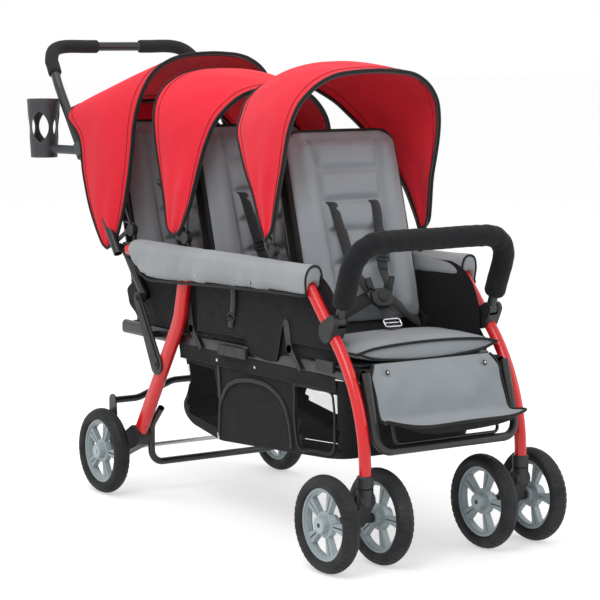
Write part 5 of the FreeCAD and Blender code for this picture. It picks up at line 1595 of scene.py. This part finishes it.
def basket_rows():
    """The bag's wall in rows from its hem down, slack in the middle, over a floor that sags."""
    rows = []
    for r in range(BASKET_DOWN + 1):
        v = r / BASKET_DOWN
        row = []
        for c in range(BASKET_ROUND):
            u = c / BASKET_ROUND
            x, y = basket_point(u, v)
            slack = math.sin(v * math.pi)
            out = slack * (2.5 * math.sin(u * 40) + 1.5 * math.sin(u * 93 + v * 4))
            floor = np.interp(y, BASE_PLACES, BASE_HEIGHTS)
            z = BASKET_TOP - (BASKET_TOP - floor) * (v - 0.035 * math.sin(v * math.pi * 2))
            row.append(place(x * (1 + out / 900), y, z))
        rows.append(row)
    return rows


def basket_floor(edge):
    """Rows that close the floor, from the wall's last row in to a line along the middle."""
    front = place(0, 200, 0).y
    rear = place(0, 560, 0).y
    rows = []
    for share in (0.97, 0.85, 0.6, 0.3, 0.02):
        row = []
        for point in edge:
            middle = Vector((0, max(front, min(rear, point.y)), point.z - 0.002))
            row.append(middle + (point - middle) * share)
        rows.append(row)
    return rows


basket_wall = basket_rows()
basket = skin("basket_bag", basket_wall + basket_floor(basket_wall[-1]), "black_fabric", closed=True)
basket.data.materials.append(MATERIALS["netting"])
for polygon in basket.data.polygons:
    centre = polygon.center / MM
    y = centre.y + SETBACK
    down = polygon.index // BASKET_ROUND
    meshed = any(front < y < rear and first <= down < end for front, rear, first, end in MESH_WINDOWS)
    if abs(centre.x) > MESH_X and meshed:
        polygon.material_index = 1
subdivided(basket)
settle(basket, "chassis", "black_fabric", "basket")


def wall_x(z):
    """Where the basket's right side stands at a height, with its sag left out."""
    return -(BASKET_HALF - BASKET_TAPER * (BASKET_TOP - z) / (BASKET_TOP - BASKET_BASE)) - 1.6


def on_wall(y, z, out):
    return place(wall_x(z) - out, y, z)


def wall_line(points, out, count, closed=False):
    """A smooth line on the basket's side through (y, z) places, standing out from the cloth."""
    return curve_through([on_wall(y, z, out) for y, z in points], count, closed)


BAND_FRONT = 88
BAND_REAR = 702
BAND_LOW = 347
BAND_TOP = 378
ZIP_ARCH = (
    (570, 181), (566, 200), (557, 235), (547, 264), (514, 300), (485, 315), (452, 324), (401, 329),
    (341, 324), (297, 299), (279, 262), (277, 214), (281, 200),
)
ZIP_UPRIGHT = ((542, 346), (543, 320), (546, 290), (549, 262))
ZIP_PULL = ((-2.4, 0), (2.4, 0), (3, 16), (-3, 16))
WINDOW_BINDING = (
    (240, 342), (170, 344), (112, 343), (104, 320), (108, 270), (126, 214), (190, 208), (248, 204),
    (256, 260), (246, 320),
)
BASKET_SNAPS = ((545, 358), (391, 361))


def basket_trim():
    """The hem's band, the arched zip of the side opening, the mesh window's binding and two snaps."""
    outward = (-1, 0, 0)
    rows = []
    for z in np.linspace(BAND_TOP, BAND_LOW, 6):
        along = np.linspace(BAND_FRONT, BAND_REAR, 60)
        rows.append([on_wall(y, z, 2.6 + 0.5 * math.sin(y / 19)) for y in along])
    hem = [(y, BAND_LOW + math.sin(y / 23)) for y in np.linspace(BAND_FRONT, BAND_REAR, 40)]
    edge = wall_line(WINDOW_BINDING, 1.4, 120, closed=True)
    parts = [
        skin("band", rows, "black_fabric"),
        cordlet("fold", wall_line(hem, 2.6, 120), 0.0016, "piping", 6),
        sweep("zip", wall_line(ZIP_ARCH, 2.2, 90), band(0.009, 0.0018), "webbing", up=outward),
        cordlet("teeth", wall_line(ZIP_ARCH, 3.4, 90), 0.0013, "black_plastic", 6),
        sweep("zip", wall_line(ZIP_UPRIGHT, 2.2, 40), band(0.008, 0.0018), "webbing", up=outward),
        sweep("window", edge, band(0.007, 0.0016), "piping", up=outward, closed=True),
    ]
    for y, z in BASKET_SNAPS:
        parts.append(dome("snap", on_wall(y, z, 2.0), outward, 0.0042, 0.0018, "silver"))
    pull = [on_wall(571 + a, 174 + b, 2.6) for a, b in ZIP_PULL]
    parts.append(slab("pull", pull, outward, 0.0016, "silver", 0.0005))
    return joined("basket_trim_form", parts)


both_sides(basket_trim(), "basket_trim", "chassis", "black_fabric")


# Foam grips and rivets
HANDLE_FLARE = (-216, 1205, 945)
HANDLE_CORNER = (-196, 1296, 1039)
GRIP_END_X = -58
GRIP_RADIUS = 0.0163
LEG_RIVETS = ((43, 409), (25, 377), (-2, 313), (-11, 292))


def handle_grip():
    """One foam sleeve round a corner of the handle, with rounded ends and a soft swell."""
    flare = np.array(place(*HANDLE_FLARE))
    corner = np.array(place(*HANDLE_CORNER))
    start = flare + (corner - flare) * 0.3
    end = np.array(place(GRIP_END_X, *HANDLE_CORNER[1:]))
    up = (start - corner) / np.linalg.norm(start - corner)
    along = (end - corner) / np.linalg.norm(end - corner)
    line = curve_through([
        start, start - up * 0.03, corner + up * 0.046, corner + (up + along) * 0.0135,
        corner + along * 0.046, end - along * 0.03, end,
    ], 90)
    swell = [0.74, 0.92, 1.0]
    return sweep("grip_form", line, ring(GRIP_RADIUS, 24), "foam", up=transport(line), ends=swell)


both_sides(handle_grip(), "grip", "handle", "grip_foam", "grips")


def on_surface(node, start, way):
    """Where a ray first meets a node, and the surface's direction there."""
    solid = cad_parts[node]
    tree = BVHTree.FromObject(solid, bpy.context.evaluated_depsgraph_get())
    back = solid.matrix_world.inverted()
    spot, normal, _, _ = tree.ray_cast(back @ Vector(start), (back.to_3x3() @ Vector(way)).normalized())
    return solid.matrix_world @ spot, (solid.matrix_world.to_3x3() @ normal).normalized()


def rivets():
    """Heads on the outer side of the front leg, turned a little to the front."""
    heads = []
    for y, z in LEG_RIVETS:
        spot, facing = on_surface("frame_tube_right", place(-255, y - 6, z), (1, 0, 0))
        heads.append(dome("rivet", spot - facing * 0.0004, facing, 0.0045, 0.0024, "black_plastic"))
    return joined("leg_rivets_form", heads)


both_sides(rivets(), "leg_rivets", "chassis", "black_plastic")


# Flat bent links under the canopy knobs, and the latch blocks on the outer face of the rails
RAIL_FACE = -187.3
LINK_OFFSETS = (0, 393)
LINK_LINE = ((258, 468), (247, 418), (209, 380))
LINK_RADII = (11, 9.5, 5.5)
LINK_RIVETS = ((258, 468), (251, 436), (210, 381))
LINK_THICKNESS = 3
# Latch blocks as (front, rear, lower and upper edge)
LATCHES = ((404, 517, 375.5, 399), (76, 138, 388, 412))


def flat_plate(name, places, radii, thickness):
    """A plate with round ends and bends: each stretch is the hull of two discs."""
    pieces = []
    for (a, b), (ra, rb) in zip(zip(places, places[1:]), zip(radii, radii[1:])):
        start = np.array(a, float)
        way = np.array(b, float) - start
        length = np.linalg.norm(way)
        heading = math.atan2(way[1], way[0])
        open_angle = math.acos((ra - rb) / length)
        outline = []
        for k in range(15):
            turn = heading + open_angle + (2 * math.pi - 2 * open_angle) * k / 14
            outline.append(start + ra * np.array((math.cos(turn), math.sin(turn))))
        for k in range(15):
            turn = heading - open_angle + 2 * open_angle * k / 14
            outline.append(start + way + rb * np.array((math.cos(turn), math.sin(turn))))
        ring_points = [place(RAIL_FACE - thickness / 2, y, z) for y, z in outline]
        pieces.append(slab(name, ring_points, (-1, 0, 0), thickness * MM, "black_plastic", 0.0006))
    return pieces


def side_links():
    """The flat bent links with their rivets, one set below each of the two front knobs."""
    parts = []
    for away in LINK_OFFSETS:
        parts += flat_plate("link", [(y + away, z) for y, z in LINK_LINE], LINK_RADII, LINK_THICKNESS)
        for y, z in LINK_RIVETS:
            spot = place(RAIL_FACE - LINK_THICKNESS, y + away, z)
            parts.append(dome("link_rivet", spot, (-1, 0, 0), 0.0036, 0.0022, "black_frame"))
    return joined("side_links_form", parts)


def rail_plate(name, out, front, rear, low, high, thickness, material, bevel):
    """A bevelled rectangle beside the rail."""
    corners = [(front, low), (rear, low), (rear, high), (front, high)]
    outline = [place(RAIL_FACE - out, y, z) for y, z in corners]
    return slab(name, outline, (-1, 0, 0), thickness, material, bevel)


def latch_blocks():
    """Latch housings with a riveted plate on each."""
    parts = []
    for front, rear, low, high in LATCHES:
        parts.append(rail_plate("latch", 4, front, rear, low, high, 0.009, "black_plastic", 0.002))
        inner = (front + 22, rear - 12, low + 5, high - 5)
        parts.append(rail_plate("latch_plate", 9, *inner, 0.0016, "black_frame", 0.0006))
        for y in (front + 30, (front + rear) / 2 + 5, rear - 20):
            spot = place(RAIL_FACE - 9.6, y, (low + high) / 2)
            parts.append(dome("latch_rivet", spot, (-1, 0, 0), 0.0032, 0.0014, "silver"))
    return joined("latch_blocks_form", parts)


both_sides(side_links(), "side_links", "chassis", "black_plastic")
both_sides(latch_blocks(), "latch_blocks", "chassis", "black_plastic")


# Harness of the front seat, copied to the others
SHOULDER_WIDTH = 24
WAIST_WIDTH = 30
BUCKLE_HALF = 27
BUCKLE_HIGH = 21
SLIDE_SHARES = ((-1, -1), (0, -1.12), (1, -1), (1.1, 0), (1, 1), (0, 1.12), (-1, 1), (-1.1, 0))


def strap(name, points, width, thickness=1.6, *, up, count=40):
    """Webbing through places given in millimetres."""
    return sweep(name, line_of(points, count), band(width * MM, thickness * MM), "webbing", up=up)


def back_point(x, behind, along):
    """A place given from the front seat back's hinge: behind its face and along its slope."""
    sine = math.sin(math.radians(LEAN))
    cosine = math.cos(math.radians(LEAN))
    return (x, HINGE[0] + along * sine + behind * cosine, HINGE[1] + along * cosine - behind * sine)


def slide(name, centre, along, facing, width, height, material="black_plastic"):
    """A two-bar adjuster: a rounded frame with a bar across."""
    along = Vector(along).normalized()
    facing = Vector(facing).normalized()
    side = along.cross(facing).normalized()
    c = Vector(centre)
    w = width / 2 * MM
    h = height / 2 * MM
    corners = [c + side * w * across + along * h * up for across, up in SLIDE_SHARES]
    loop = curve_through(corners, 40, closed=True)
    bars = [sweep(name + "_loop", loop, ring(0.0021, 8), material, up=facing, closed=True)]
    middle = curve_through([c - side * w, c + side * w], 5)
    bars.append(sweep(name + "_bar", middle, ring(0.0018, 8), material, up=facing))
    return bars


# Runs of webbing on the seat back as (across, behind, along), then in the open as (across, y, height)
SHOULDER_BACK = ((55, 6, 276), (55, -2, 270), (55, -12, 262), (53, -17, 235), (46, -20, 180), (38, -26, 120))
SHOULDER_OPEN = ((30, 200, 545), (24, 194, 532))
SHOULDER_DOUBLE = ((49, -22, 205), (43, -25, 150), (37, -29, 112))
WAIST = ((22, 196, 520), (50, 205, 505), (90, 218, 480), (120, 226, 462), (136, 230, 456))
CROTCH = ((0, 128, 454), (0, 138, 462), (0, 160, 482), (0, 180, 503), (0, 190, 516))
TONGUE = ((16, 186, 533), (34, 190, 541), (39, 193, 560), (25, 192, 562))
BUCKLE_WAY = (0, -0.86, 0.5)


def harness_side(sign):
    """Shoulder strap, its doubled end and adjuster, and waist strap of one side."""
    up_back = (0, -math.cos(math.radians(LEAN)), math.sin(math.radians(LEAN)))
    shoulder = [back_point(sign * x, *rest) for x, *rest in SHOULDER_BACK]
    shoulder += [(sign * x, y, z) for x, y, z in SHOULDER_OPEN]
    double = [back_point(sign * x, *rest) for x, *rest in SHOULDER_DOUBLE]
    waist = [(sign * x, y, z) for x, y, z in WAIST]
    straps = [
        strap(f"shoulder_{sign}", shoulder, SHOULDER_WIDTH, up=up_back),
        strap(f"shoulder_double_{sign}", double, SHOULDER_WIDTH + 1, up=up_back, count=16),
        strap(f"waist_{sign}", waist, WAIST_WIDTH, 2.4, up=(0, -0.8, 0.6)),
    ]
    centre = place(*back_point(sign * 42, -28, 142))
    return straps, slide(f"slide_{sign}", centre, (sign * -0.15, -0.27, -0.96), up_back, 27, 17)


def buckle():
    """The rounded centre plate with its button, and the tongue of each shoulder strap."""
    outline = []
    for k in range(24):
        t = 2 * math.pi * k / 24
        w = math.copysign(BUCKLE_HALF * abs(math.cos(t)) ** 0.6, math.cos(t))
        h = math.copysign(BUCKLE_HIGH * abs(math.sin(t)) ** 0.7, math.sin(t))
        outline.append(place(w, 186 + h * 0.5, 517 + h * 0.86))
    parts = [
        slab("buckle_plate", outline, BUCKLE_WAY, 0.011, "black_plastic", 0.002),
        dome("buckle_button", place(0, 176, 523), BUCKLE_WAY, 0.0115, 0.0035, "black_plastic"),
    ]
    for sign in (RIGHT, LEFT):
        corners = [place(sign * x, y, z) for x, y, z in TONGUE]
        parts.append(slab("tongue", corners, BUCKLE_WAY, 0.006, "black_plastic", 0.0015))
    return parts


def harness_pieces():
    """All webbing as one piece, and all fittings as another."""
    straps = []
    fittings = []
    for sign in (RIGHT, LEFT):
        side_straps, side_slide = harness_side(sign)
        straps += side_straps
        fittings += side_slide
    straps.append(strap("crotch", CROTCH, WAIST_WIDTH, 2.2, up=(0, -0.7, 0.7)))
    centre = place(0, 143, 470.5)
    fittings += slide("crotch_slide", centre, (0, 0.66, 0.75), (0, -0.75, 0.66), 38, 17, "silver")
    return joined("harness_straps", straps), joined("harness_fittings", fittings + buckle())


harness, fittings = harness_pieces()
for number, seat in enumerate(SEATS):
    shift = (0, number * SEAT_PITCH, 0)
    webs = copied(harness, f"harness_straps_{seat}", shift)
    plastic = copied(fittings, f"harness_fittings_{seat}", shift)
    settle(webs, "chassis", "black_fabric", *([] if number else ["harness_buckles"]))
    settle(plastic, "chassis", "black_plastic")
discard(harness, fittings)
